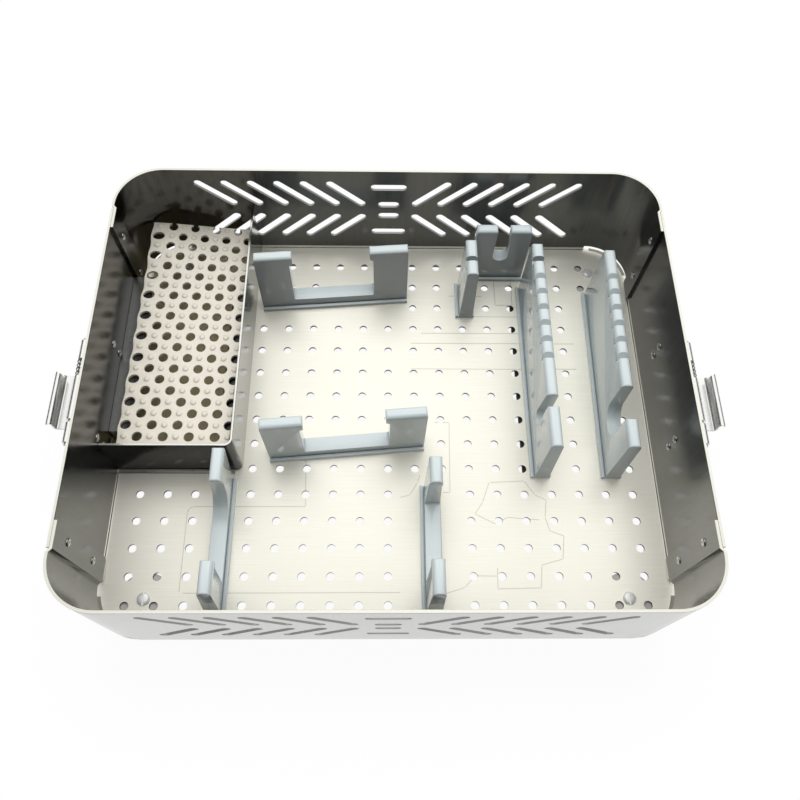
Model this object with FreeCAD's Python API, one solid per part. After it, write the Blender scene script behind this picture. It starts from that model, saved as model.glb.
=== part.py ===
import FreeCAD, Part
import math
import os

# Sterilization case for surgical instruments, lid off: a folded sheet-steel
# tray on four rubber feet, with a perforated floor, slotted front and rear
# panels, a parts bay with a silicone mat, eight moulded instrument brackets
# and a spring latch on each end. Millimetres, X to the right, Y to the rear,
# Z up, origin on the resting surface below the middle of the case.

# Case
case_length = 300.0
case_width = 243.0
wall_height = 73.0
corner_radius = 25.0
sheet = 1.5
bend_radius = 1.0
floor_sheet = 1.5
floor_edge_gap = 0.3
flange_width = 14.0
corner_relief = 6.5

# Lap joint between the wrapped panels and the end walls
panel_wrap = 26.5
joggle_run = 1.5
lap_length = 13.0
lap_foot = 1.0
lap_round = 3.5
end_wall_gap = 0.5

# Perforated floor: few sides to a hole keep the model light
hole_pitch = 15.0
hole_border = 13.0
hole_diameter = 4.5
hole_sides = 6
hole_margin = 1.3
screw_margin = 0.5

# Slots in the front and rear panels
slot_width = 4.0
slot_rise = 37.0
slot_pitch = 15.0
slot_end_corners = 4
chevron_near = 16.0
chevron_run = 17.5
chevron_low = 6.0
chevron_high = 22.3
bar_slots = ((9.65, 19.8), (5.7, 5.0), (5.7, -4.9), (9.65, -19.8))

# Rubber feet and their screws
foot_height = 8.5
foot_diameter = 28.0
foot_taper = 1.5
foot_sides = 24
foot_inset_x = 24.5
foot_inset_y = 20.1
foot_screw_diameter = 4.0
foot_screw_head = 6.4
foot_screw_head_height = 1.6
foot_screw_reach = 6.0
foot_screw_slot = 1.0
foot_clearance = 1.0
screw_clearance = 0.1
fastener_sides = 6

# Rivets
rivet_diameter = 3.0
rivet_head = 4.2
rivet_head_height = 0.8
corner_rivet_inset = 8.5
upper_rivet_drop = 16.0
lower_rivet_rise = 20.0

# Parts bay
bay_sheet = 1.2
bay_width = 68.2
bay_length = 151.0
bay_height = 36.0
bay_corner_radius = 4.0
bay_lip = 2.0
bay_tab = 10.0
end_tab_low = 2.0
end_tab_height = 18.0
rear_tab_low = 3.0
rear_tab_height = 14.0

# Silicone mat and the two ledges below it
mat_sheet = 2.0
mat_left_gap = 5.2
mat_right_gap = 2.4
mat_front_gap = 1.4
mat_rear_gap = 4.5
mat_rise = 25.0
mat_drop = 3.0
mat_turn = -0.7
mat_corner_radius = 5.0
mat_pitch = 6.8
mat_hole = 5.4
mat_hole_sides = 6
mat_first_row = 6.3
mat_first_column = 3.9
mat_edge_margin = 0.8
mat_clearance = 0.3
ledge_sheet = 1.2
ledge_leg = 9.0
left_ledge_width = 11.5
right_ledge_width = 9.0
ledge_rear_gap = 40.0

# Moulded brackets
bracket_height = 47.0
bracket_base = 8.2
bracket_top = 6.4
bracket_round = 2.5
bracket_flange = 2.2
bracket_flange_height = 2.5
bracket_heel = 0.8
bracket_heel_height = 3.0
groove_width = 0.5
groove_depth = 1.2
bar_height = 7.8
lip_height = 5.5
lip_slope = 1.5
seat_round = 1.2

# Latches on the two ends
latch_sheet = 1.0
pin_diameter = 2.4
pin_length = 62.8
pin_out = 14.5
pin_below_rim = 34.0
pin_clearance = 0.1
base_width = 68.0
base_below_pin = 14.0
base_above_pin = 6.0
base_knuckle_inner = 18.5
base_knuckle_outer = 30.0
latch_width = 32.0
latch_knuckle_front = -17.0
latch_knuckle_rear = 8.3
latch_drop = 6.0
latch_below_pin = 15.0
latch_bend = 1.0
latch_reach = 13.0
latch_lip = 6.0
latch_curl = 2.6
latch_notch = 2.6
latch_rivet_y = 27.5
latch_rivet_offsets = (1.5, -8.5)

# Torsion springs on the latch pins
spring_wire = 0.8
spring_sides = 4
spring_clearance = 0.3
spring_turns = 3
spring_pitch = 2.3
spring_front = 9.7
spring_leg_gap = 0.2

# Heights, half sizes and places that follow
half_length = case_length / 2
half_width = case_width / 2
floor_under = foot_height
floor_top = floor_under + floor_sheet
wall_foot = floor_under - sheet
rim = wall_foot + wall_height
inner_x = half_length - sheet
inner_y = half_width - sheet
panel_reach = half_width - panel_wrap
corner_rivet_y = panel_reach - corner_rivet_inset
corner_rivet_heights = (rim - upper_rivet_drop, floor_top + lower_rivet_rise)
slot_middle = floor_top + slot_rise
bay_right = -inner_x + bay_width
bay_front = inner_y - bay_length
mat_left = -inner_x + mat_left_gap
mat_right = bay_right - bay_sheet - mat_right_gap
mat_front = bay_front + bay_sheet + mat_front_gap
mat_rear = inner_y - mat_rear_gap
mat_left_height = floor_top + mat_rise
pin_height = rim - pin_below_rim
latch_floor = pin_height - latch_below_pin


def vec(plane, a, b, along=0.0):
    """Point with coordinates a, b in a named plane and a third one along its normal."""
    if plane == "xy":
        return FreeCAD.Vector(a, b, along)
    if plane == "xz":
        return FreeCAD.Vector(a, along, b)
    return FreeCAD.Vector(along, a, b)


def outline(points, plane, along=0.0):
    """Closed wire through points (a, b) or (a, b, radius), rounded where a radius is given."""
    corners = [(vec(plane, p[0], p[1], along), p[2] if len(p) > 2 else 0.0) for p in points]
    edges = []
    first = None
    last = None
    for i, (corner, radius) in enumerate(corners):
        before = (corners[i - 1][0] - corner).normalize()
        after = (corners[(i + 1) % len(corners)][0] - corner).normalize()
        enter = corner
        leave = corner
        if radius > 0:
            half = before.getAngle(after) / 2
            enter = corner + before * (radius / math.tan(half))
            leave = corner + after * (radius / math.tan(half))
            inward = (before + after).normalize()
            middle = corner + inward * (radius / math.sin(half) - radius)
        if last is not None:
            edges.append(Part.LineSegment(last, enter).toShape())
        else:
            first = enter
        if radius > 0:
            edges.append(Part.Arc(enter, middle, leave).toShape())
        last = leave
    if (last - first).Length > 1e-6:
        edges.append(Part.LineSegment(last, first).toShape())
    return Part.Wire(edges)


def prism(points, plane, start, end):
    """Solid with an outline in a plane, between two places on the plane's normal."""
    return Part.Face(outline(points, plane, start)).extrude(vec(plane, 0, 0, end - start))


def box(x0, x1, y0, y1, z0, z1):
    """Box between two corners."""
    return Part.makeBox(x1 - x0, y1 - y0, z1 - z0, FreeCAD.Vector(x0, y0, z0))


def rod(diameter, start, end):
    """Round bar between two points."""
    axis = end - start
    return Part.makeCylinder(diameter / 2, axis.Length, start, axis)


def few_sided(x, y, diameter, sides):
    """Corners of a regular polygon that stands for a circle."""
    return [(x + diameter / 2 * math.cos(2 * math.pi * (k + 0.5) / sides),
             y + diameter / 2 * math.sin(2 * math.pi * (k + 0.5) / sides)) for k in range(sides)]


def stud(diameter, start, end):
    """Shank, head or bore of a small fastener between two points, drawn with few sides."""
    axis = end - start
    turn = FreeCAD.Rotation(FreeCAD.Vector(0, 0, 1), axis)
    corners = [start + turn.multVec(FreeCAD.Vector(x, y, 0))
               for x, y in few_sided(0, 0, diameter, fastener_sides)]
    return Part.Face(Part.makePolygon(corners + corners[:1])).extrude(axis)


def upright(diameter, x, y, z0, z1):
    """The same, standing upright between two heights."""
    return stud(diameter, FreeCAD.Vector(x, y, z0), FreeCAD.Vector(x, y, z1))


def rounded_block(half_x, half_y, radius, z0, z1):
    """Rectangular block on the case's centre with rounded vertical corners."""
    corners = ((-half_x, -half_y, radius), (half_x, -half_y, radius),
               (half_x, half_y, radius), (-half_x, half_y, radius))
    return prism(corners, "xy", z0, z1)


def mirrored_x(shape):
    """The same piece on the other end of the case."""
    return shape.mirror(FreeCAD.Vector(0, 0, 0), FreeCAD.Vector(1, 0, 0))


def mirrored_y(shape):
    """The same piece on the other long side of the case."""
    return shape.mirror(FreeCAD.Vector(0, 0, 0), FreeCAD.Vector(0, 1, 0))


def corner_points(x, y):
    """The four places symmetric to (x, y)."""
    return [(sx * x, sy * y) for sx in (-1, 1) for sy in (-1, 1)]


foot_places = corner_points(half_length - foot_inset_x, half_width - foot_inset_y)


# Sheet-steel walls

def folded_wall(face, plane, reach):
    """Wall sheet whose lower edge is bent inwards as a flange below the floor."""
    outer_bend = bend_radius + sheet
    profile = [(-face, rim), (-face, wall_foot, outer_bend), (-face + flange_width, wall_foot),
               (-face + flange_width, floor_under), (-face + sheet, floor_under, bend_radius),
               (-face + sheet, rim)]
    wall = prism(profile, plane, -reach, reach)
    return wall.cut(foot_clearances())


def foot_clearances():
    """Room in the flanges for the four feet."""
    radius = foot_diameter / 2 + foot_clearance
    return Part.makeCompound([Part.makeCylinder(radius, floor_under, FreeCAD.Vector(x, y, 0))
                              for x, y in foot_places])


def slot(x0, z0, x1, z1):
    """Cutter for one slot between two points of the panel, its ends rounded with few sides."""
    slant = math.atan2(z1 - z0, x1 - x0)
    corners = []
    for x, z, facing in ((x1, z1, slant), (x0, z0, slant + math.pi)):
        for k in range(slot_end_corners):
            angle = facing + math.pi * (k / (slot_end_corners - 1) - 0.5)
            corners.append((x + slot_width / 2 * math.cos(angle), z + slot_width / 2 * math.sin(angle)))
    return prism(corners, "xz", -half_width - sheet, -inner_y + sheet)


def panel_slots():
    """Four level slots on the middle and chevrons of slanted ones to both sides."""
    cutters = [slot(-half, slot_middle + height, half, slot_middle + height)
               for half, height in bar_slots]
    room = half_length - corner_radius - chevron_near - chevron_run - slot_width
    slots_per_side = int(room / slot_pitch) + 1
    for side in (-1, 1):
        for turn in (-1, 1):
            for k in range(slots_per_side):
                near = chevron_near + slot_pitch * k
                cutters.append(slot(side * near, slot_middle + turn * chevron_low,
                                    side * (near + chevron_run), slot_middle + turn * chevron_high))
    return Part.makeCompound(cutters)


def front_panel():
    """Panel that wraps round two corners and laps inside both end walls."""
    relief = wall_foot + corner_relief
    ring = rounded_block(half_length, half_width, corner_radius, relief, rim)
    ring = ring.cut(rounded_block(inner_x, inner_y, corner_radius - sheet, relief - 1, rim + 1))
    ring = ring.common(box(-half_length, half_length, -half_width, -panel_reach, relief, rim))
    panel = ring.fuse(folded_wall(half_width, "yz", half_length - corner_radius))
    lap_start = -panel_reach + joggle_run
    lap_end = lap_start + lap_length
    lap_low = floor_top + lap_foot
    lap_x = inner_x - sheet
    joggle = prism(((half_length, -panel_reach), (inner_x, -panel_reach),
                    (lap_x, lap_start), (inner_x, lap_start)), "xy", relief, rim)
    lap = prism(((lap_start, lap_low, lap_round), (lap_end, lap_low, lap_round),
                 (lap_end, rim), (lap_start, rim)), "yz", lap_x, inner_x)
    for piece in (joggle, lap):
        panel = panel.fuse([piece, mirrored_x(piece)])
    panel = panel.removeSplitter()
    return panel.cut([panel_slots(), rivet_holes(corner_rivets_at(lap_x - 1, half_length + 1))])


def end_wall(more_rivets):
    """Left end wall, outside the laps of the wrapped panels, with holes for its rivets."""
    wall = folded_wall(half_length, "xz", panel_reach - joggle_run - end_wall_gap)
    through = corner_rivets_at(-inner_x + 1, -half_length - 1)
    through += latch_rivets_at(-inner_x + 1, -half_length - 1)
    return wall.cut(rivet_holes(through + more_rivets))


# Rivets: each is a pair of points on the two faces that it holds together

def rivet(inside, outside, flush=False):
    """Shank between two faces with a low head inside and, unless flush, one outside."""
    axis = (outside - inside).normalize()
    heads = [stud(rivet_head, inside - axis * rivet_head_height, inside)]
    if not flush:
        heads.append(stud(rivet_head, outside, outside + axis * rivet_head_height))
    return stud(rivet_diameter, inside, outside).fuse(heads)


def rivet_holes(pairs):
    """Cutters for rivet shanks, each a little longer than the pile of sheets."""
    return Part.makeCompound([stud(rivet_diameter, a + (a - b).normalize(), b + (b - a).normalize())
                              for a, b in pairs])


def corner_rivets_at(inside, outside):
    """Rivet places of the lap joints, between two X planes on both ends."""
    pairs = []
    for side_x in (-1, 1):
        for side_y in (-1, 1):
            for height in corner_rivet_heights:
                y = side_y * corner_rivet_y
                pairs.append((FreeCAD.Vector(side_x * abs(inside), y, height),
                              FreeCAD.Vector(side_x * abs(outside), y, height)))
    return pairs


def latch_rivets_at(inside, outside):
    """Rivet places of one latch base, between two X planes."""
    return [(FreeCAD.Vector(inside, side * latch_rivet_y, pin_height + offset),
             FreeCAD.Vector(outside, side * latch_rivet_y, pin_height + offset))
            for side in (-1, 1) for offset in latch_rivet_offsets]


def bay_end_rivet():
    """Rivet of the bay's tab on the left end wall."""
    height = floor_top + end_tab_low + end_tab_height / 2
    y = bay_front + bay_sheet + bay_tab * 0.6
    return (FreeCAD.Vector(-inner_x + bay_sheet, y, height), FreeCAD.Vector(-half_length, y, height))


def bay_rear_rivet():
    """Rivet of the bay's tab on the rear panel."""
    x = bay_right - bay_sheet - bay_tab * 0.5
    height = floor_top + rear_tab_low + rear_tab_height / 2
    return (FreeCAD.Vector(x, inner_y - bay_sheet, height), FreeCAD.Vector(x, half_width, height))


# Perforated floor

def in_footprint(x, y, margin):
    """Whether a point lies on a bracket's foot or within a margin of it."""
    for bracket in brackets.values():
        u, v = bracket["to_local"](x, y)
        low = -bracket_flange - margin
        high = bracket_base + bracket_heel + margin
        if -margin < u < bracket["length"] + margin and low < v < high:
            return True
    return False


def in_bay(x, y, margin):
    """Whether a point lies in the parts bay, whose floor is plain below the mat, or near its wall."""
    return x < bay_right + margin and y > bay_front - bay_lip - margin


def meets_foot_screw(x, y):
    """Whether a hole of the pattern would run into the head of a foot's screw."""
    room = (foot_screw_head + hole_diameter) / 2 + screw_margin
    return any(math.hypot(x - px, y - py) < room for px, py in foot_places)


def holed_plate(border, holes, z0, z1):
    """Plate between two heights with many holes through it."""
    wires = [outline(border, "xy", z0)]
    wires += [outline(points, "xy", z0) for points in holes]
    face = Part.makeFace(wires, "Part::FaceMakerBullseye")
    return face.extrude(FreeCAD.Vector(0, 0, z1 - z0))


def floor_plate():
    """Floor sheet with its square hole pattern, plain under each bracket and below the mat."""
    x = inner_x - bend_radius - floor_edge_gap
    y = inner_y - bend_radius - floor_edge_gap
    step_x = half_length - corner_radius + floor_edge_gap
    step_y = panel_reach - joggle_run
    radius = half_length - step_x - floor_edge_gap
    border = []
    for sx, sy in ((1, -1), (1, 1), (-1, 1), (-1, -1)):
        corner = [(sx * step_x, sy * y), (sx * step_x, sy * half_width),
                  (sx * half_length, sy * half_width, radius),
                  (sx * half_length, sy * step_y), (sx * x, sy * step_y)]
        border += corner if sx * sy < 0 else corner[::-1]
    columns = int((inner_x - hole_border) / hole_pitch)
    rows = int((inner_y - hole_border) / hole_pitch)
    holes = []
    for column in range(-columns, columns + 1):
        for row in range(-rows, rows + 1):
            px = column * hole_pitch
            py = row * hole_pitch
            margin = hole_margin + hole_diameter / 2
            if not (in_footprint(px, py, margin) or in_bay(px, py, 0.0) or meets_foot_screw(px, py)):
                holes.append(few_sided(px, py, hole_diameter, hole_sides))
    plate = holed_plate(border, holes, floor_under, floor_top)
    bores = [upright(foot_screw_diameter + 2 * screw_clearance, px, py, floor_under - 1, floor_top + 1)
             for px, py in foot_places]
    return plate.cut(Part.makeCompound(bores))


# Feet

def foot(x, y):
    """Tapered rubber foot with a blind bore for its screw."""
    rings = [[FreeCAD.Vector(px, py, height) for px, py in few_sided(x, y, diameter, foot_sides)]
             for diameter, height in ((foot_diameter - 2 * foot_taper, 0.0), (foot_diameter, foot_height))]
    loops = list(rings)
    for k in range(foot_sides):
        loops.append([rings[0][k - 1], rings[0][k], rings[1][k], rings[1][k - 1]])
    faces = [Part.Face(Part.makePolygon(loop + loop[:1])) for loop in loops]
    body = Part.makeSolid(Part.makeShell(faces))
    bore_foot = foot_height - foot_screw_reach - screw_clearance
    return body.cut(upright(foot_screw_diameter + 2 * screw_clearance, x, y, bore_foot, foot_height + 1))


def foot_screw(x, y):
    """Slotted screw from inside the case down into a foot."""
    head_top = floor_top + foot_screw_head_height
    shank = upright(foot_screw_diameter, x, y, foot_height - foot_screw_reach, floor_top)
    head = upright(foot_screw_head, x, y, floor_top, head_top)
    slot_cut = box(x - foot_screw_head, x + foot_screw_head, y - foot_screw_slot / 2,
                   y + foot_screw_slot / 2, floor_top + foot_screw_head_height / 2, head_top + 1)
    return shank.fuse(head).cut(slot_cut)


# Parts bay

def bay_wall():
    """L-shaped wall of the parts bay, with a foot lip in front and two riveted tabs."""
    top = floor_top + bay_height
    inner_right = bay_right - bay_sheet
    inner_front = bay_front + bay_sheet
    outer = ((-inner_x, bay_front), (bay_right, bay_front, bay_corner_radius),
             (bay_right, inner_y), (inner_right, inner_y),
             (inner_right, inner_front, bay_corner_radius - bay_sheet), (-inner_x, inner_front))
    wall = prism(outer, "xy", floor_top, top)
    lip = box(-inner_x, bay_right - bay_corner_radius, bay_front - bay_lip, inner_front,
              floor_top, floor_top + bay_sheet)
    end_low = floor_top + end_tab_low
    end_tab = box(-inner_x, -inner_x + bay_sheet, bay_front, inner_front + bay_tab,
                  end_low, end_low + end_tab_height)
    rear_low = floor_top + rear_tab_low
    rear_tab = box(inner_right - bay_tab, bay_right, inner_y - bay_sheet, inner_y,
                   rear_low, rear_low + rear_tab_height)
    wall = wall.fuse([lip, end_tab, rear_tab]).removeSplitter()
    return wall.cut(rivet_holes([bay_end_rivet(), bay_rear_rivet()]))


def mat_slope():
    """Tilt of the mat, lower towards the middle of the case."""
    return mat_drop / (mat_right - mat_left)


def mat_under(x):
    """Height of the mat's underside at a place across the bay."""
    return mat_left_height - mat_slope() * (x - mat_left)


def silicone_mat():
    """Soft mat with holes on every other point of a square pattern, tilted in place."""
    border = ((mat_left, mat_front), (mat_right, mat_front), (mat_right, mat_rear),
              (mat_left, mat_rear, mat_corner_radius))
    reach = mat_hole / 2 + mat_edge_margin
    columns = int((mat_right - mat_left - mat_first_column) / mat_pitch) + 1
    rows = int((mat_rear - mat_front - mat_first_row) / mat_pitch) + 1
    holes = []
    for row in range(rows):
        for column in range(columns):
            x = mat_left + mat_first_column + mat_pitch * column
            y = mat_front + mat_first_row + mat_pitch * row
            inside = mat_left + reach < x < mat_right - reach and y < mat_rear - reach
            if (row + column) % 2 == 1 and inside:
                holes.append(few_sided(x, y, mat_hole, mat_hole_sides))
    mat = holed_plate(border, holes, mat_left_height, mat_left_height + mat_sheet)
    tilt = math.degrees(math.atan(mat_slope()))
    corner = FreeCAD.Vector(mat_left, mat_front, mat_left_height)
    mat.rotate(corner, FreeCAD.Vector(0, 1, 0), tilt)
    mat.rotate(corner, FreeCAD.Vector(0, 0, 1), mat_turn)
    return mat


def left_ledge():
    """Angle strip on the left end wall that carries the mat's outer edge."""
    edge = -inner_x + left_ledge_width
    top = mat_under(edge) - mat_clearance
    profile = ((-inner_x, top), (edge, top), (edge, top - ledge_sheet),
               (-inner_x + ledge_sheet, top - ledge_sheet), (-inner_x + ledge_sheet, top - ledge_leg),
               (-inner_x, top - ledge_leg))
    front = bay_front + 2 * bay_sheet + bay_tab + mat_clearance
    return prism(profile, "xz", front, inner_y - ledge_rear_gap)


def right_ledge():
    """Angle strip on the bay's long wall that carries the mat's inner edge."""
    face = bay_right - bay_sheet
    top = mat_under(mat_right) - mat_clearance
    edge = face - right_ledge_width
    profile = ((face, top), (edge, top), (edge, top - ledge_sheet),
               (face - ledge_sheet, top - ledge_sheet), (face - ledge_sheet, top - ledge_leg),
               (face, top - ledge_leg))
    return prism(profile, "xz", bay_front + bay_corner_radius, inner_y - ledge_rear_gap)


# Moulded brackets: u runs along a bracket, v across it from its flange side

def saddle_profile(length, first_post, second_post, lip, seat_radius):
    """Two posts with inward lips on a low bar, for a tool laid across."""
    h = bracket_height
    under = h - lip_height
    return ((0, 0), (0, h), (first_post + lip, h), (first_post + lip, under),
            (first_post, under - lip_slope), (first_post, bar_height, seat_round),
            (length - second_post, bar_height, seat_radius), (length - second_post, under - lip_slope),
            (length - second_post - lip, under), (length - second_post - lip, h), (length, h), (length, 0))


def rail_profile(length, front_post, slot_gap, slot_floor, lean, notches):
    """Long rail with a deep slot behind its front post and a row of notches along its top."""
    h = bracket_height
    slot_rear = front_post + slot_gap
    slot_round = slot_gap / 2 - 0.1
    points = [(0, 0), (0, h), (front_post, h), (front_post, slot_floor, slot_round),
              (slot_rear, slot_floor, slot_round), (slot_rear, slot_floor + slot_gap / 2 + 1),
              (slot_rear - lean, h)]
    for place, slit, depth, foot, run in notches:
        points += [(place, h), (place, h - depth), (place + slit, h - depth), (place + slit, h - foot),
                   (place + slit + run, h)]
    return points + [(length, h), (length, 0)]


def fork_profile(length, slot_place, mouth, throat, slot_floor):
    """Upright plate with a keyhole slot open to the top."""
    h = bracket_height
    left = slot_place - throat / 2
    right = slot_place + throat / 2
    end_round = throat / 2 - 0.1
    return ((0, 0), (0, h, seat_round * 2), (slot_place - mouth / 2, h), (left, slot_floor + throat),
            (left, slot_floor, end_round), (right, slot_floor, end_round), (right, slot_floor + throat),
            (slot_place + mouth / 2, h), (length, h, seat_round * 2), (length, 0))


def post_profile(length, notch_place, notch_width, notch_depth):
    """Short post with one square notch across its top."""
    h = bracket_height
    return ((0, 0), (0, h), (notch_place, h), (notch_place, h - notch_depth),
            (notch_place + notch_width, h - notch_depth), (notch_place + notch_width, h),
            (length, h), (length, 0))


def cross_section(lean):
    """Section across a bracket: tapered plate, round top, flange on one side and heel on the other."""
    h = bracket_height
    shift = (bracket_base - bracket_top) / 2
    return ((-bracket_flange, 0), (-bracket_flange, bracket_flange_height),
            (-groove_width, bracket_flange_height), (-groove_width, bracket_flange_height - groove_depth),
            (0, bracket_flange_height - groove_depth), (0, bracket_flange_height),
            (shift + lean, h, bracket_round), (bracket_base - shift + lean, h, bracket_round),
            (bracket_base, bracket_heel_height),
            (bracket_base + bracket_heel, bracket_heel_height), (bracket_base + bracket_heel, 0))


def place(origin, angle, flip):
    """Function from the floor's X, Y to a bracket's u, v."""
    ca = math.cos(math.radians(angle))
    sa = math.sin(math.radians(angle))

    def to_local(x, y):
        dx = x - origin[0]
        dy = y - origin[1]
        return (dx * ca + dy * sa, flip * (-dx * sa + dy * ca))

    return to_local


def bracket_entry(profile, length, origin, angle, flip=1, lean=0.0):
    """Everything that one bracket is built and placed from."""
    return {"profile": profile, "length": length, "origin": origin, "angle": angle, "flip": flip,
            "lean": lean, "to_local": place(origin, angle, flip)}


def rail_notches(first, pitch, count, slit=0.5, depth=4.2, foot=2.6, run=2.0):
    """Row of narrow slits along a rail's top, each with a slope up from it to the rear."""
    return [(first + pitch * k, slit, depth, foot, run) for k in range(count)]


notch_pitch = 10.1
inner_notches = rail_notches(50.4, notch_pitch, 6) + [(112.4, 3.0, 4.5, 4.0, 0.4)]
outer_notches = rail_notches(50.7, notch_pitch, 6)

# Each bracket's corner is placed from the walls, and its turn is in degrees from +X
brackets = {
    "rear_saddle": bracket_entry(saddle_profile(87.5, 19.5, 20.0, 2.0, seat_round), 87.5,
                                 (bay_right + 4.5, inner_y - 46.1), 4.5, 1, 1.2),
    "middle_saddle": bracket_entry(saddle_profile(86.0, 20.0, 19.5, 2.0, seat_round), 86.0,
                                   (bay_right + 14.7, inner_y - 144.6), 5.0, 1, -3.0),
    "left_cradle": bracket_entry(saddle_profile(72.5, 14.0, 15.5, 2.0, 15.0), 72.5,
                                 (-inner_x + 63.6, -inner_y + 11.2), 90.0, 1, -4.3),
    "front_cradle": bracket_entry(saddle_profile(68.5, 15.0, 12.0, 2.0, seat_round), 68.5,
                                  (inner_x - 128.9, -inner_y + 10.9), 90.0, -1),
    "notched_post": bracket_entry(post_profile(23.6, 9.0, 3.0, 4.5), 23.6,
                                  (inner_x - 105.3, inner_y - 51.9), 90.0, -1),
    "forked_post": bracket_entry(fork_profile(31.8, 15.9, 7.7, 9.0, 19.3), 31.8,
                                 (inner_x - 97.4, inner_y - 22.8), 0.0, 1, -1.3),
    "inner_rack_rail": bracket_entry(rail_profile(124.7, 22.3, 8.8, 18.5, 2.6, inner_notches), 124.7,
                                     (inner_x - 67.5, inner_y - 155.3), 90.0, -1),
    "outer_rack_rail": bracket_entry(rail_profile(121.0, 15.8, 18.8, 15.6, 0.5, outer_notches), 121.0,
                                     (inner_x - 28.2, inner_y - 155.6), 89.2, -1),
}


def build_bracket(bracket):
    """Section run along the bracket and trimmed to the side profile."""
    side = [(p[0], p[1] + floor_top) + tuple(p[2:]) for p in bracket["profile"]]
    section = [(bracket["flip"] * p[0], p[1] + floor_top) + tuple(p[2:])
               for p in cross_section(bracket["lean"])]
    bar = prism(section, "yz", 0.0, bracket["length"])
    reach = bracket_base + bracket_flange + abs(bracket["lean"]) + bracket_heel
    body = bar.common(prism(side, "xz", -reach, reach))
    body.rotate(FreeCAD.Vector(0, 0, 0), FreeCAD.Vector(0, 0, 1), bracket["angle"])
    body.translate(FreeCAD.Vector(bracket["origin"][0], bracket["origin"][1], 0))
    return body


# Latches, drawn on the left end and mirrored

pin_x = -half_length - pin_out
eye_radius = pin_diameter / 2 + latch_sheet


def latch_pin():
    """Hinge pin through both base eyes and the latch eye."""
    return rod(pin_diameter, FreeCAD.Vector(pin_x, -pin_length / 2, pin_height),
               FreeCAD.Vector(pin_x, pin_length / 2, pin_height))


def latch_base():
    """Plate riveted to the end wall, with two tongues rolled into eyes for the pin."""
    face = -half_length
    plate = box(face - latch_sheet, face, -base_width / 2, base_width / 2,
                pin_height - base_below_pin, pin_height + base_above_pin)
    plate = plate.cut(rivet_holes(latch_rivets_at(face + 1, face - latch_sheet - 1)))
    tongue_low = pin_height - eye_radius
    pieces = []
    for side in (-1, 1):
        y0, y1 = sorted((side * base_knuckle_inner, side * base_knuckle_outer))
        pieces.append(box(pin_x, face - latch_sheet, y0, y1, tongue_low, tongue_low + latch_sheet))
        pieces.append(rod(2 * eye_radius, FreeCAD.Vector(pin_x, y0, pin_height),
                          FreeCAD.Vector(pin_x, y1, pin_height)))
    return plate.fuse(pieces).cut(latch_pin()).removeSplitter()


def latch_plate():
    """Swinging latch: rolled eye, short drop, level plate and a curled lip that grips the lid."""
    t = latch_sheet
    bore = pin_diameter + 2 * pin_clearance
    ring = bore / 2 + t
    y0 = -latch_width / 2
    y1 = latch_width / 2
    eye_out = pin_x - ring
    lip_x = pin_x - latch_reach
    low = latch_floor
    drop_foot = pin_height - latch_drop
    drop = box(eye_out, eye_out + t, latch_knuckle_front, latch_knuckle_rear, drop_foot - t, pin_height)
    level = ((eye_out + t, drop_foot), (eye_out + t, low, t + latch_bend), (lip_x - t, low, t + latch_bend),
             (lip_x - t, low + t + latch_lip), (lip_x, low + t + latch_lip),
             (lip_x, low + t, latch_bend), (eye_out, low + t, latch_bend), (eye_out, drop_foot))
    curl_x = lip_x - t - latch_curl
    curl_top = low + t + latch_lip
    curl_round = latch_curl / 4
    curl = ((lip_x, curl_top - t), (lip_x, curl_top + t, curl_round + t),
            (curl_x, curl_top + t, curl_round + t), (curl_x, curl_top - t), (curl_x + t, curl_top - t),
            (curl_x + t, curl_top, curl_round), (lip_x - t, curl_top, curl_round), (lip_x - t, curl_top - t))
    eye = rod(2 * ring, FreeCAD.Vector(pin_x, latch_knuckle_front, pin_height),
              FreeCAD.Vector(pin_x, latch_knuckle_rear, pin_height))
    hole = rod(bore, FreeCAD.Vector(pin_x, latch_knuckle_front - t, pin_height),
               FreeCAD.Vector(pin_x, latch_knuckle_rear + t, pin_height))
    latch = prism(level, "xz", y0, y1).fuse([prism(curl, "xz", y0, y1), drop, eye])
    notch = prism(((lip_x + t, y1 - latch_notch), (lip_x + t, y1 + t), (curl_x - t, y1 + t),
                   (curl_x - t, y1)), "xy", low + 2 * t, rim)
    return latch.cut([hole, notch]).removeSplitter()


# Torsion spring: a helix of biarcs round the pin, with a straight leg at each end

def tangent_arc(start, corner, end):
    """Arc from one point to another whose tangents meet in the corner point."""
    half = (start - corner).getAngle(end - corner) / 2
    inward = ((start - corner).normalize() + (end - corner).normalize()).normalize()
    reach = (start - corner).Length
    middle = corner + inward * (reach / math.cos(half) - reach * math.tan(half))
    return Part.Arc(start, middle, end).toShape()


def biarc(start, leaving, end, arriving):
    """Two tangent arcs between two points with given unit directions."""
    chord = end - start
    lean = chord.dot(leaving + arriving)
    spread = 2 * (1 - leaving.dot(arriving))
    reach = (math.sqrt(lean ** 2 + spread * chord.dot(chord)) - lean) / spread
    first_corner = start + leaving * reach
    second_corner = end - arriving * reach
    joint = (first_corner + second_corner) * 0.5
    return [tangent_arc(start, first_corner, joint), tangent_arc(joint, second_corner, end)]


def spring_point(quarter):
    """Place and unit direction of the wire after a number of quarter turns round the pin."""
    radius = pin_diameter / 2 + spring_clearance + spring_wire / 2
    angle = math.pi - quarter * math.pi / 2
    rise = spring_pitch / 4
    y = spring_front + spring_wire / 2 + rise * quarter
    point = FreeCAD.Vector(pin_x + radius * math.cos(angle), y, pin_height + radius * math.sin(angle))
    turning = radius * math.pi / 2
    direction = FreeCAD.Vector(turning * math.sin(angle), rise, -turning * math.cos(angle))
    return point, direction.normalize()


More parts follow.
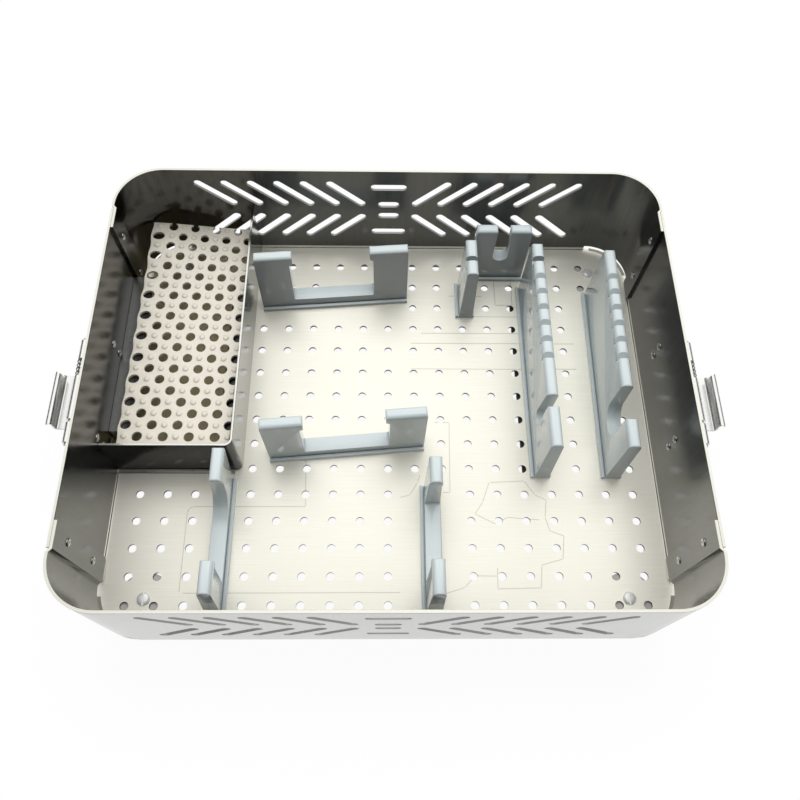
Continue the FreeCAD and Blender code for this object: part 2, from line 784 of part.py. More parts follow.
def spring_gap():
    """Least gap between one turn of the wire and the next, measured on points of the helix."""
    steps = 8
    points = [spring_point(k / steps)[0] for k in range((4 * spring_turns + 1) * steps + 1)]
    apart = 2 * steps
    return min((points[j] - points[i]).Length for i in range(len(points))
               for j in range(i + apart, len(points))) - spring_wire


def latch_spring():
    """Torsion spring: one leg bears on the latch below it, the other on the base plate."""
    stations = [spring_point(quarter) for quarter in range(4 * spring_turns + 2)]
    start, leaving = stations[0]
    end, arriving = stations[-1]
    latch_run = start.z - (pin_height - latch_drop) - spring_leg_gap
    base_run = -half_length - latch_sheet - spring_leg_gap - end.x
    foot_end = start - leaving * latch_run
    edges = [Part.LineSegment(foot_end, start).toShape()]
    for (a, leave_a), (b, arrive_b) in zip(stations, stations[1:]):
        edges += biarc(a, leave_a, b, arrive_b)
    edges.append(Part.LineSegment(end, end + arriving * base_run).toShape())
    turn = FreeCAD.Rotation(FreeCAD.Vector(0, 0, 1), leaving)
    corners = [foot_end + turn.multVec(FreeCAD.Vector(x, y, 0))
               for x, y in few_sided(0, 0, spring_wire, spring_sides)]
    shell = Part.BRepOffsetAPI.MakePipeShell(Part.Wire(edges))
    shell.add(Part.makePolygon(corners + corners[:1]))
    shell.build()
    shell.makeSolid()
    return shell.shape()


def group(solids):
    """Identical pieces kept together as separate solids."""
    return Part.makeCompound(solids)


def build():
    """Every piece of the case, by the name of its node."""
    front = front_panel()
    rear = mirrored_y(front).cut(rivet_holes([bay_rear_rivet()]))
    left = end_wall([bay_end_rivet()])
    right = mirrored_x(end_wall([]))
    base = latch_base()
    latch = latch_plate()
    spring = latch_spring()
    pin = latch_pin()
    latch_faces = (-inner_x, -half_length - latch_sheet)
    left_latch_rivets = group([rivet(a, b) for a, b in latch_rivets_at(*latch_faces)])
    pieces = {
        "front_panel": front,
        "rear_panel": rear,
        "left_end_wall": left,
        "right_end_wall": right,
        "floor_plate": floor_plate(),
        "corner_rivets": group([rivet(a, b) for a, b in corner_rivets_at(inner_x - sheet, half_length)]),
        "bay_wall": bay_wall(),
        "bay_rivets": group([rivet(*bay_end_rivet(), True), rivet(*bay_rear_rivet(), True)]),
        "left_mat_ledge": left_ledge(),
        "right_mat_ledge": right_ledge(),
        "silicone_mat": silicone_mat(),
        "foot_screws": group([foot_screw(x, y) for x, y in foot_places]),
        "left_latch_base": base,
        "left_latch_rivets": left_latch_rivets,
        "left_latch_pin": pin,
        "left_latch": latch,
        "right_latch_base": mirrored_x(base),
        "right_latch_rivets": mirrored_x(left_latch_rivets),
        "right_latch_pin": mirrored_x(pin),
        "right_latch": mirrored_x(latch),
        "latch_springs": group([spring, mirrored_x(spring)]),
    }
    foot_names = ("front_left_foot", "rear_left_foot", "front_right_foot", "rear_right_foot")
    for name, (x, y) in zip(foot_names, foot_places):
        pieces[name] = foot(x, y)
    for name, bracket in brackets.items():
        pieces[name] = build_bracket(bracket)
    return pieces


os.makedirs("parts", exist_ok=True)
for node, shape in build().items():
    shape.exportStep("parts/" + node + ".step")
    print(node, len(shape.Solids), round(shape.Volume, 1), shape.isValid())
print("least gap between the springs' turns", round(spring_gap(), 2))
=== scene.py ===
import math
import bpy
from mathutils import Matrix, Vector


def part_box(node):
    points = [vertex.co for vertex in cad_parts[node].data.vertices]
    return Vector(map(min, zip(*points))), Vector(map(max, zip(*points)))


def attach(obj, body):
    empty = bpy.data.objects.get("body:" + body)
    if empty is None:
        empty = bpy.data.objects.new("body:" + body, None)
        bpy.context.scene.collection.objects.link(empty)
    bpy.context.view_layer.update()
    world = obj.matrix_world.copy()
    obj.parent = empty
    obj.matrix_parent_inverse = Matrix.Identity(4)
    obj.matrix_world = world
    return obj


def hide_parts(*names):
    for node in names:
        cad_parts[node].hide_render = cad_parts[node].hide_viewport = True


bl_info = {
    "name": "Sterilization Case",
    "version": (1, 0, 0),
    "blender": (4, 5, 0),
    "location": "3D View > Sidebar > Case",
    "description": "Builds an open instrument sterilization case, its fittings and its studio stage",
    "category": "Object",
}

import bmesh
import bpy
from bpy.props import FloatProperty, FloatVectorProperty, IntProperty, PointerProperty
from mathutils import Matrix, Vector

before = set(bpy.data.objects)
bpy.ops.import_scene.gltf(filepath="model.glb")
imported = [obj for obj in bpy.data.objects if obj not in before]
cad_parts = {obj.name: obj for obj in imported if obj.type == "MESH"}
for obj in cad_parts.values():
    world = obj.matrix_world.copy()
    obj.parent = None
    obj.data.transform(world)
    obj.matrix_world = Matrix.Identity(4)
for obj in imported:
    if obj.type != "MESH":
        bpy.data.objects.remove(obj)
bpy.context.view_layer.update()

MM = 0.001


# Sizes and colours that a user would change


def length(name, description, default):
    """Length property in metres, with its default written in millimetres."""
    return FloatProperty(name=name, description=description, default=default * MM, unit="LENGTH", precision=5)


def colour(name, description, default):
    """Linear colour property."""
    return FloatVectorProperty(name=name, description=description, default=default, subtype="COLOR", size=3,
                               min=0.0, max=1.0)


class CaseSizes(bpy.types.PropertyGroup):
    """Sheet-metal body of the case."""
    length: length("Length", "Outer length without the latches", 300.0)
    width: length("Width", "Outer width from front to rear", 243.0)
    corner_radius: length("Corner radius", "Outer radius of the four corners", 25.0)
    sheet: length("Sheet", "Thickness of the wall sheets", 1.5)
    rim: length("Rim", "Height of the rim above the surface below", 80.0)
    floor_under: length("Floor underside", "Height of the floor's underside", 8.5)
    floor_sheet: length("Floor sheet", "Thickness of the floor", 1.5)
    flange: length("Flange", "Width of the walls' inturned flanges", 14.0)
    bend: length("Bend", "Inner radius of the bends", 1.0)
    wrap: length("Wrap", "How far a panel wraps towards the middle of an end", 26.5)
    joggle: length("Joggle", "Run of the joggle before the lap", 1.5)
    lap: length("Lap", "Length of the lap inside an end wall", 13.0)
    lap_foot: length("Lap foot", "Height of the lap's lower edge above the floor", 1.0)
    lap_round: length("Lap round", "Radius of the lap's lower corners", 3.5)
    relief: length("Relief", "Height of the corners' lower edge", 13.5)


class FloorSizes(bpy.types.PropertyGroup):
    """Perforated floor."""
    pitch: length("Pitch", "Distance between holes", 15.0)
    hole: length("Hole", "Hole diameter", 4.5)
    edge_gap: length("Edge gap", "Gap between the floor and the walls", 0.3)
    ear_gap: length("Ear gap", "Gap between a corner's ear and the walls' ends", 0.3)
    ear_inset: length("Ear inset", "How far an ear's edge lies inside the case's outline", 0.3)
    margin: length("Margin", "Least distance from a hole's edge to a bracket's foot", 1.3)
    columns: IntProperty(name="Columns", description="Holes along the case", default=19, min=1)
    rows: IntProperty(name="Rows", description="Holes across the case", default=15, min=1)


class SlotSizes(bpy.types.PropertyGroup):
    """Slots of the front and rear panels."""
    width: length("Width", "Width of a slot", 4.8)
    middle: length("Middle", "Height of the pattern's centre line", 47.0)
    pitch: length("Pitch", "Distance between slanted slots", 15.0)
    near: length("Near", "Distance from the middle to the first slanted slot", 16.0)
    run: length("Run", "Level run of a slanted slot", 17.5)
    low: length("Low", "Height of a slanted slot's near end from the centre line", 6.0)
    high: length("High", "Height of a slanted slot's far end from the centre line", 22.3)
    count: IntProperty(name="Count", description="Slanted slots in each of the four rows", default=6, min=1)


class BracketSizes(bpy.types.PropertyGroup):
    """Cross-section that the moulded brackets share."""
    height: length("Height", "Height above the floor", 47.0)
    base: length("Base", "Thickness at the floor", 8.2)
    top: length("Top", "Thickness at the top", 6.4)
    top_round: length("Top round", "Radius of the rounded top", 2.5)
    flange: length("Flange", "Width of the flange at the foot", 2.2)
    flange_height: length("Flange height", "Height of the flange", 2.5)
    heel: length("Heel", "Width of the heel on the other side", 0.8)
    heel_height: length("Heel height", "Height of the heel", 3.0)
    groove: length("Groove", "Width of the groove beside the flange", 0.5)
    groove_depth: length("Groove depth", "Depth of the groove", 1.2)
    bar: length("Bar", "Height of the low bar between posts", 7.8)
    lip_height: length("Lip height", "Height of the lips on the posts", 5.5)
    lip_slope: length("Lip slope", "Height of the slope below a lip", 1.5)
    edge_round: length("Edge round", "Radius on the profile's corners", 1.2)
    soft_edge: length("Soft edge", "Radius broken on all other edges", 0.22)


class MatSizes(bpy.types.PropertyGroup):
    """Silicone mat of the parts bay."""
    sheet: length("Sheet", "Thickness of the mat", 2.0)
    pitch: length("Pitch", "Distance between neighbouring cells", 6.8)
    hole: length("Hole", "Diameter of a hole", 5.4)
    nub: length("Nub", "Diameter of a nub", 3.3)
    nub_height: length("Nub height", "Height of a nub", 0.9)
    first_row: length("First row", "Distance from the front edge to the first row", 6.3)
    first_column: length("First column", "Distance from the left edge to the first column", 3.9)
    drop: length("Drop", "How much lower the rear right corner lies", 4.5)
    curl: length("Curl", "How far the rear left corner curls up", 5.0)
    draw: length("Draw", "How far the curl draws that corner back from the rear wall", 2.4)
    lean: length("Lean", "How far the left edge's rear end lies to the right of its front end", 1.8)
    turn: length("Turn", "How far the last row lies to the right of the first", 2.8)
    columns: IntProperty(name="Columns", description="Cells across the mat", default=9, min=1)
    rows: IntProperty(name="Rows", description="Cells along the mat", default=21, min=1)


class FastenerSizes(bpy.types.PropertyGroup):
    """Rivets, screws and feet."""
    rivet_head: length("Rivet head", "Diameter of a rivet head", 4.2)
    rivet_dome: length("Rivet dome", "Height of a rivet head", 0.8)
    screw_head: length("Screw head", "Diameter of a foot screw's head", 6.8)
    screw_dome: length("Screw dome", "Height of a foot screw's head", 1.6)
    foot: length("Foot", "Diameter of a foot at the floor", 28.0)
    foot_taper: length("Foot taper", "How much narrower a foot is at the bottom, on the radius", 1.5)
    spring_wire: length("Spring wire", "Diameter of the latch springs' wire", 0.8)


class CaseColours(bpy.types.PropertyGroup):
    """Colours of the finishes."""
    floor: colour("Floor", "Satin steel of the floor", (0.86, 0.84, 0.75))
    wall: colour("Walls", "Brushed steel of the walls", (0.49, 0.49, 0.48))
    bright: colour("Bright steel", "Polished steel of latches and rivets", (0.72, 0.72, 0.71))
    bracket: colour("Brackets", "Blue-grey moulding", (0.48, 0.535, 0.55))
    mat: colour("Mat", "Cream silicone", (0.60, 0.565, 0.49))
    foot: colour("Feet", "Grey rubber", (0.42, 0.41, 0.39))


class StageSettings(bpy.types.PropertyGroup):
    """Camera and light."""
    lens: FloatProperty(name="Lens", description="Focal length on a 36 mm sensor, in millimetres", default=35.18)
    camera: FloatVectorProperty(name="Camera", description="Place of the camera", subtype="TRANSLATION",
                                default=(-0.0021, -0.1831, 0.4188), size=3)
    softbox_size: FloatProperty(name="Softbox", description="Side of the overhead softbox", default=0.9,
                                unit="LENGTH")
    softbox_power: FloatProperty(name="Softbox power", description="Power of the overhead softbox", default=6.0,
                                 unit="POWER")


SETTINGS = {"case_body": CaseSizes, "case_floor": FloorSizes, "case_slots": SlotSizes,
            "case_brackets": BracketSizes, "case_mat": MatSizes, "case_fasteners": FastenerSizes,
            "case_colours": CaseColours, "case_stage": StageSettings}

# Outlines etched into the floor, in millimetres
ETCHED_PATHS = (
    ((66.0, 100.9), (66.0, 77.4), (76.5, 77.4), (76.5, 100.9)),
    ((-45.8, -22.9), (-44.8, -52.0), (-105.2, -52.0), (-107.3, -53.0), (-108.2, -55.2), (-107.8, -98.0)),
    ((-106.0, -98.5), (6.5, -98.3)),
    ((37.2, 83.9), (58.0, 83.9)),
    ((46.0, 69.0), (79.0, 69.0)),
    ((19.7, 57.2), (79.0, 57.2)),
    ((13.4, 50.2), (79.0, 50.2)),
    ((13.4, 32.8), (79.0, 32.8)),
    ((91.5, 50.2), (112.0, 50.2)),
    ((91.5, 33.0), (112.0, 33.0)),
    ((56.4, -38.0), (75.4, -37.1), (80.8, -45.2), (86.7, -48.1), (85.3, -58.0), (87.3, -65.5),
     (94.6, -68.3), (92.9, -80.8), (81.4, -84.0), (80.2, -96.0), (57.4, -96.5), (57.8, -85.3)),
    ((55.9, -38.0), (51.7, -49.5), (47.3, -56.0), (57.8, -61.6), (64.8, -58.0), (82.4, -59.4)),
    ((26.3, -1.8), (34.9, -1.8), (34.1, -43.8), (30.0, -43.8)),
    ((29.6, -99.1), (40.2, -95.7), (45.7, -89.7), (57.5, -89.8)),
    ((6.6, -46.7), (12.1, -45.3), (16.3, -38.0), (17.8, -33.6)),
)


# Mesh helpers


def rounded(points, segments=6):
    """Outline through points (a, b) or (a, b, radius), rounded where a radius is given."""
    outline = []
    for i, point in enumerate(points):
        corner = Vector(point[:2])
        radius = point[2] if len(point) > 2 else 0.0
        if radius <= 0.0:
            outline.append(corner)
            continue
        before = (Vector(points[i - 1][:2]) - corner).normalized()
        after = (Vector(points[(i + 1) % len(points)][:2]) - corner).normalized()
        half = before.angle(after) / 2
        centre = corner + (before + after).normalized() * (radius / math.sin(half))
        start = corner + before * (radius / math.tan(half)) - centre
        end = corner + after * (radius / math.tan(half)) - centre
        turn = start.angle_signed(end)
        for k in range(segments + 1):
            outline.append(centre + Matrix.Rotation(-turn * k / segments, 2) @ start)
    return outline


def place_in(plane, a, b, along):
    """Point with coordinates a, b in a named plane and a third along its normal."""
    if plane == "xy":
        return (a, b, along)
    if plane == "xz":
        return (a, along, b)
    return (along, a, b)


def new_object(name, mesh):
    """Object of a mesh, linked to the scene."""
    obj = bpy.data.objects.new(name, mesh)
    bpy.context.scene.collection.objects.link(obj)
    return obj


def from_bmesh(name, shape):
    """Object of a bmesh with its normals pointing outwards."""
    bmesh.ops.recalc_face_normals(shape, faces=shape.faces)
    mesh = bpy.data.meshes.new(name)
    shape.to_mesh(mesh)
    shape.free()
    return new_object(name, mesh)


def add_prism(shape, outline, plane, start, end):
    """Closed solid with an outline in a plane, between two places on its normal."""
    low = [shape.verts.new(place_in(plane, p[0], p[1], start)) for p in outline]
    high = [shape.verts.new(place_in(plane, p[0], p[1], end)) for p in outline]
    shape.faces.new(low)
    shape.faces.new(high)
    for i in range(len(low)):
        j = (i + 1) % len(low)
        shape.faces.new((low[i], low[j], high[j], high[i]))


def prism(name, outline, plane, start, end):
    """Object of one prism."""
    shape = bmesh.new()
    add_prism(shape, outline, plane, start, end)
    return from_bmesh(name, shape)


def add_sweep(shape, stations):
    """Closed solid through a row of sections, each a list of corner points."""
    rings = [[shape.verts.new(p) for p in section] for section in stations]
    count = len(rings[0])
    for here, ahead in zip(rings, rings[1:]):
        for i in range(count):
            j = (i + 1) % count
            shape.faces.new((here[i], here[j], ahead[j], ahead[i]))
    shape.faces.new(rings[0])
    shape.faces.new(rings[-1])


def add_lathe(shape, profile, centre, segments):
    """Closed solid of a profile (radius, height) turned about an upright axis."""
    rings = []
    for radius, height in profile:
        if radius <= 0.0:
            rings.append([shape.verts.new((centre[0], centre[1], height))])
            continue
        rings.append([shape.verts.new((centre[0] + radius * math.cos(2 * math.pi * k / segments),
                                       centre[1] + radius * math.sin(2 * math.pi * k / segments), height))
                      for k in range(segments)])
    for here, ahead in zip(rings, rings[1:]):
        for k in range(segments):
            m = (k + 1) % segments
            loop = [here[k % len(here)], here[m % len(here)], ahead[m % len(ahead)], ahead[k % len(ahead)]]
            corners = list(dict.fromkeys(loop))
            shape.faces.new(corners)


def bake(obj):
    """Turns an object's modifiers into its plain mesh."""
    result = bpy.data.meshes.new_from_object(obj.evaluated_get(bpy.context.evaluated_depsgraph_get()))
    obj.modifiers.clear()
    old = obj.data
    obj.data = result
    result.name = obj.name
    bpy.data.meshes.remove(old)


def remove(obj):
    """Deletes a helper object and its mesh."""
    mesh = obj.data
    bpy.data.objects.remove(obj)
    bpy.data.meshes.remove(mesh)


def combine(obj, tool, operation):
    """Joins, cuts or intersects an object with a tool, which is used up."""
    modifier = obj.modifiers.new("Combine", "BOOLEAN")
    modifier.operation = operation
    modifier.solver = "MANIFOLD"
    modifier.object = tool
    bake(obj)
    remove(tool)


def soften(obj, width, segments=2, angle=35.0):
    """Breaks the sharp edges of an object."""
    bevel = obj.modifiers.new("Soften", "BEVEL")
    bevel.width = width
    bevel.segments = segments
    bevel.limit_method = "ANGLE"
    bevel.angle_limit = math.radians(angle)
    bevel.use_clamp_overlap = True
    bevel.harden_normals = False
    bake(obj)


def smooth(obj, angle=32.0):
    """Smooth shading with sharp edges kept past an angle."""
    obj.data.polygons.foreach_set("use_smooth", [True] * len(obj.data.polygons))
    obj.data.set_sharp_from_angle(angle=math.radians(angle))


def finish_piece(obj, body, kind, nodes=(), angle=32.0):
    """Shades a piece, gives it its finish and seats it on its body."""
    smooth(obj, angle)
    obj.data.materials.clear()
    obj.data.materials.append(finish(kind))
    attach(obj, body)
    if nodes:
        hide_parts(*nodes)
    return obj


# Geometry node trees


def tree_with(name, sockets):
    """Geometry node tree with a geometry input and output and the named inputs."""
    tree = bpy.data.node_groups.new(name, "GeometryNodeTree")
    tree.interface.new_socket(name="Geometry", in_out="INPUT", socket_type="NodeSocketGeometry")
    for label, kind in sockets:
        tree.interface.new_socket(name=label, in_out="INPUT", socket_type=kind)
    tree.interface.new_socket(name="Geometry", in_out="OUTPUT", socket_type="NodeSocketGeometry")
    entry = tree.nodes.new("NodeGroupInput")
    leave = tree.nodes.new("NodeGroupOutput")
    return tree, entry, leave


def closing(tree, geometry, material, leave):
    """Realize Instances and Set Material before the output."""
    realize = tree.nodes.new("GeometryNodeRealizeInstances")
    painted = tree.nodes.new("GeometryNodeSetMaterial")
    tree.links.new(geometry, realize.inputs["Geometry"])
    tree.links.new(realize.outputs["Geometry"], painted.inputs["Geometry"])
    tree.links.new(material, painted.inputs["Material"])
    tree.links.new(painted.outputs["Geometry"], leave.inputs["Geometry"])


def maths(tree, operation, first, second):
    """Math node of two values, each a socket or a number."""
    node = tree.nodes.new("ShaderNodeMath")
    node.operation = operation
    for socket, value in zip(node.inputs, (first, second)):
        if isinstance(value, (int, float)):
            socket.default_value = value
        else:
            tree.links.new(value, socket)
    return node.outputs["Value"]


def vector_of(tree, x, y, z):
    """Vector of three values, each a socket or a number."""
    node = tree.nodes.new("ShaderNodeCombineXYZ")
    for socket, value in zip(node.inputs, (x, y, z)):
        if isinstance(value, (int, float)):
            socket.default_value = value
        else:
            tree.links.new(value, socket)
    return node.outputs["Vector"]


def perforation_tree():
    """Plate with a square pattern of round holes, left out near what has to stay clear."""
    tree, entry, leave = tree_with("Perforated plate", (
        ("Pitch", "NodeSocketFloat"), ("Columns", "NodeSocketInt"), ("Rows", "NodeSocketInt"),
        ("Hole Diameter", "NodeSocketFloat"), ("Height", "NodeSocketFloat"), ("Depth", "NodeSocketFloat"),
        ("Margin", "NodeSocketFloat"), ("Clear Of", "NodeSocketObject"), ("Material", "NodeSocketMaterial")))
    nodes = tree.nodes
    link = tree.links.new
    grid = nodes.new("GeometryNodeMeshGrid")
    spans = [maths(tree, "MULTIPLY", entry.outputs["Pitch"], maths(tree, "SUBTRACT", entry.outputs[label], 1))
             for label in ("Columns", "Rows")]
    link(spans[0], grid.inputs["Size X"])
    link(spans[1], grid.inputs["Size Y"])
    link(entry.outputs["Columns"], grid.inputs["Vertices X"])
    link(entry.outputs["Rows"], grid.inputs["Vertices Y"])
    lift = nodes.new("GeometryNodeTransform")
    link(grid.outputs["Mesh"], lift.inputs["Geometry"])
    link(vector_of(tree, 0, 0, entry.outputs["Height"]), lift.inputs["Translation"])
    clear = nodes.new("GeometryNodeObjectInfo")
    link(entry.outputs["Clear Of"], clear.inputs["Object"])
    near = nodes.new("GeometryNodeProximity")
    near.target_element = "FACES"
    link(clear.outputs["Geometry"], near.inputs[0])
    room = maths(tree, "ADD", entry.outputs["Margin"], maths(tree, "DIVIDE", entry.outputs["Hole Diameter"], 2))
    within = maths(tree, "LESS_THAN", near.outputs["Distance"], room)
    drop = nodes.new("GeometryNodeDeleteGeometry")
    link(lift.outputs["Geometry"], drop.inputs["Geometry"])
    link(within, drop.inputs["Selection"])
    punch = nodes.new("GeometryNodeMeshCylinder")
    punch.inputs["Vertices"].default_value = 28
    link(maths(tree, "DIVIDE", entry.outputs["Hole Diameter"], 2), punch.inputs["Radius"])
    link(entry.outputs["Depth"], punch.inputs["Depth"])
    copies = nodes.new("GeometryNodeInstanceOnPoints")
    link(drop.outputs["Geometry"], copies.inputs["Points"])
    link(punch.outputs["Mesh"], copies.inputs["Instance"])
    whole = nodes.new("GeometryNodeRealizeInstances")
    link(copies.outputs["Instances"], whole.inputs["Geometry"])
    cut = nodes.new("GeometryNodeMeshBoolean")
    cut.operation = "DIFFERENCE"
    cut.solver = "MANIFOLD"
    link(entry.outputs["Geometry"], cut.inputs["Mesh 1"])
    link(whole.outputs["Geometry"], cut.inputs["Mesh 2"])
    closing(tree, cut.outputs["Mesh"], entry.outputs["Material"], leave)
    return tree


def chevron_tree():
    """Panel with two mirrored rows of slanted slots above and below a centre line."""
    tree, entry, leave = tree_with("Slotted panel", (
        ("Slot", "NodeSocketObject"), ("Bars", "NodeSocketObject"), ("Count", "NodeSocketInt"),
        ("Pitch", "NodeSocketFloat"), ("Near", "NodeSocketFloat"), ("Middle", "NodeSocketFloat"),
        ("Rise", "NodeSocketFloat"), ("Angle", "NodeSocketFloat"), ("Face", "NodeSocketFloat"),
        ("Material", "NodeSocketMaterial")))
    nodes = tree.nodes
    link = tree.links.new
    info = {}
    for label in ("Slot", "Bars"):
        info[label] = nodes.new("GeometryNodeObjectInfo")
        link(entry.outputs[label], info[label].inputs["Object"])
    gather = nodes.new("GeometryNodeJoinGeometry")
    for side in (-1, 1):
        for turn in (-1, 1):
            row = nodes.new("GeometryNodeMeshLine")
            link(entry.outputs["Count"], row.inputs["Count"])
            start = vector_of(tree, maths(tree, "MULTIPLY", entry.outputs["Near"], side), entry.outputs["Face"],
                              maths(tree, "MULTIPLY_ADD", entry.outputs["Rise"], turn))
            add = start.node.inputs["Z"].links[0].from_node
            link(entry.outputs["Middle"], add.inputs[2])
            link(start, row.inputs["Start Location"])
            link(vector_of(tree, maths(tree, "MULTIPLY", entry.outputs["Pitch"], side), 0, 0),
                 row.inputs["Offset"])
            copies = nodes.new("GeometryNodeInstanceOnPoints")
            link(row.outputs["Mesh"], copies.inputs["Points"])
            link(info["Slot"].outputs["Geometry"], copies.inputs["Instance"])
            tilt = maths(tree, "MULTIPLY", entry.outputs["Angle"], -side * turn)
            link(vector_of(tree, 0, tilt, 0), copies.inputs["Rotation"])
            link(copies.outputs["Instances"], gather.inputs["Geometry"])
    link(info["Bars"].outputs["Geometry"], gather.inputs["Geometry"])
    whole = nodes.new("GeometryNodeRealizeInstances")
    link(gather.outputs["Geometry"], whole.inputs["Geometry"])
    cut = nodes.new("GeometryNodeMeshBoolean")
    cut.operation = "DIFFERENCE"
    cut.solver = "MANIFOLD"
    link(entry.outputs["Geometry"], cut.inputs["Mesh 1"])
    link(whole.outputs["Geometry"], cut.inputs["Mesh 2"])
    closing(tree, cut.outputs["Mesh"], entry.outputs["Material"], leave)
    return tree


def fastener_tree():
    """Copies of one fastener on points, each turned to its point's axis."""
    tree, entry, leave = tree_with("Fasteners", (
        ("Fastener", "NodeSocketObject"), ("Size", "NodeSocketFloat"), ("Material", "NodeSocketMaterial")))
    nodes = tree.nodes
    link = tree.links.new
    info = nodes.new("GeometryNodeObjectInfo")
    link(entry.outputs["Fastener"], info.inputs["Object"])
    axis = nodes.new("GeometryNodeInputNamedAttribute")
    axis.data_type = "FLOAT_VECTOR"
    axis.inputs["Name"].default_value = "axis"
    align = nodes.new("FunctionNodeAlignRotationToVector")
    align.axis = "Z"
    link(axis.outputs["Attribute"], align.inputs["Vector"])
    copies = nodes.new("GeometryNodeInstanceOnPoints")
    link(entry.outputs["Geometry"], copies.inputs["Points"])
    link(info.outputs["Geometry"], copies.inputs["Instance"])
    link(align.outputs["Rotation"], copies.inputs["Rotation"])
    link(vector_of(tree, entry.outputs["Size"], entry.outputs["Size"], entry.outputs["Size"]),
         copies.inputs["Scale"])
    closing(tree, copies.outputs["Instances"], entry.outputs["Material"], leave)
    return tree


def mat_tree():
    """Sheet of square cells, every other one with a hole and the rest with a nub."""
    tree, entry, leave = tree_with("Holed mat", (
        ("Hole Cell", "NodeSocketObject"), ("Nub Cell", "NodeSocketObject"), ("Pitch", "NodeSocketFloat"),
        ("Columns", "NodeSocketInt"), ("Rows", "NodeSocketInt"), ("Corner", "NodeSocketVector"),
        ("Material", "NodeSocketMaterial")))
    nodes = tree.nodes
    link = tree.links.new
    grid = nodes.new("GeometryNodeMeshGrid")
    for axis, label in (("X", "Columns"), ("Y", "Rows")):
        link(maths(tree, "MULTIPLY", entry.outputs["Pitch"], maths(tree, "SUBTRACT", entry.outputs[label], 1)),
             grid.inputs["Size " + axis])
        link(entry.outputs[label], grid.inputs["Vertices " + axis])
    index = nodes.new("GeometryNodeInputIndex")
    column = maths(tree, "FLOOR", maths(tree, "DIVIDE", index.outputs["Index"], entry.outputs["Rows"]), 0)
    row = maths(tree, "SUBTRACT", index.outputs["Index"], maths(tree, "MULTIPLY", column, entry.outputs["Rows"]))
    odd = maths(tree, "MODULO", maths(tree, "ADD", row, column), 2)
    gather = nodes.new("GeometryNodeJoinGeometry")
    for label, chosen in (("Hole Cell", odd), ("Nub Cell", maths(tree, "SUBTRACT", 1, odd))):
        info = nodes.new("GeometryNodeObjectInfo")
        link(entry.outputs[label], info.inputs["Object"])
        copies = nodes.new("GeometryNodeInstanceOnPoints")
        link(grid.outputs["Mesh"], copies.inputs["Points"])
        link(info.outputs["Geometry"], copies.inputs["Instance"])
        link(chosen, copies.inputs["Selection"])
        link(copies.outputs["Instances"], gather.inputs["Geometry"])
    move = nodes.new("GeometryNodeTransform")
    link(gather.outputs["Geometry"], move.inputs["Geometry"])
    link(entry.outputs["Corner"], move.inputs["Translation"])
    closing(tree, move.outputs["Geometry"], entry.outputs["Material"], leave)
    return tree


def run_tree(obj, tree, **values):
    """Applies a node tree to an object with its named inputs set."""
    modifier = obj.modifiers.new(tree.name, "NODES")
    modifier.node_group = tree
    for item in tree.interface.items_tree:
        label = item.name.replace(" ", "_").lower()
        if item.in_out == "INPUT" and label in values:
            modifier[item.identifier] = values[label]
    obj.update_tag()
    bake(obj)


# Finishes


def node_group(name, inputs, outputs):
    """Shader node group with named value inputs and outputs."""
    group = bpy.data.node_groups.new(name, "ShaderNodeTree")
    for label, default in inputs:
        socket = group.interface.new_socket(name=label, in_out="INPUT", socket_type="NodeSocketFloat")
        socket.default_value = default
    for label in outputs:
        group.interface.new_socket(name=label, in_out="OUTPUT", socket_type="NodeSocketFloat")
    return group, group.nodes.new("NodeGroupInput"), group.nodes.new("NodeGroupOutput")


def brushed_group():
    """Fine parallel lines of a brushed sheet with broad uneven patches."""
    group, entry, leave = node_group("Brushed", (("Scale X", 1.0), ("Scale Y", 1.0), ("Scale Z", 1.0)),
                                     ("Lines", "Patches"))
    link = group.links.new
    place = group.nodes.new("ShaderNodeTexCoord")
    stretch = group.nodes.new("ShaderNodeVectorMath")
    stretch.operation = "MULTIPLY"
    link(place.outputs["Object"], stretch.inputs[0])
    link(vector_of(group, entry.outputs["Scale X"], entry.outputs["Scale Y"], entry.outputs["Scale Z"]),
         stretch.inputs[1])
    lines = group.nodes.new("ShaderNodeTexNoise")
    lines.inputs["Scale"].default_value = 1.0
    lines.inputs["Detail"].default_value = 4.0
    lines.inputs["Roughness"].default_value = 0.65
    link(stretch.outputs["Vector"], lines.inputs["Vector"])
    patches = group.nodes.new("ShaderNodeTexNoise")
    patches.inputs["Scale"].default_value = 18.0
    patches.inputs["Detail"].default_value = 3.0
    link(place.outputs["Object"], patches.inputs["Vector"])
    link(lines.outputs["Fac"], leave.inputs["Lines"])
    link(patches.outputs["Fac"], leave.inputs["Patches"])
    return group


def facing_group():
    """One where a surface looks away from the case's middle and nought where it looks inwards."""
    group, entry, leave = node_group("Facing outwards", (), ("Outwards",))
    place = group.nodes.new("ShaderNodeTexCoord")
    flat = group.nodes.new("ShaderNodeVectorMath")
    flat.operation = "MULTIPLY"
    flat.inputs[1].default_value = (1.0, 1.0, 0.0)
    group.links.new(place.outputs["Object"], flat.inputs[0])
    dot = group.nodes.new("ShaderNodeVectorMath")
    dot.operation = "DOT_PRODUCT"
    group.links.new(flat.outputs["Vector"], dot.inputs[0])
    group.links.new(group.nodes.new("ShaderNodeNewGeometry").outputs["True Normal"], dot.inputs[1])
    group.links.new(maths(group, "GREATER_THAN", dot.outputs["Value"], -0.02 * 0.1), leave.inputs["Outwards"])
    return group


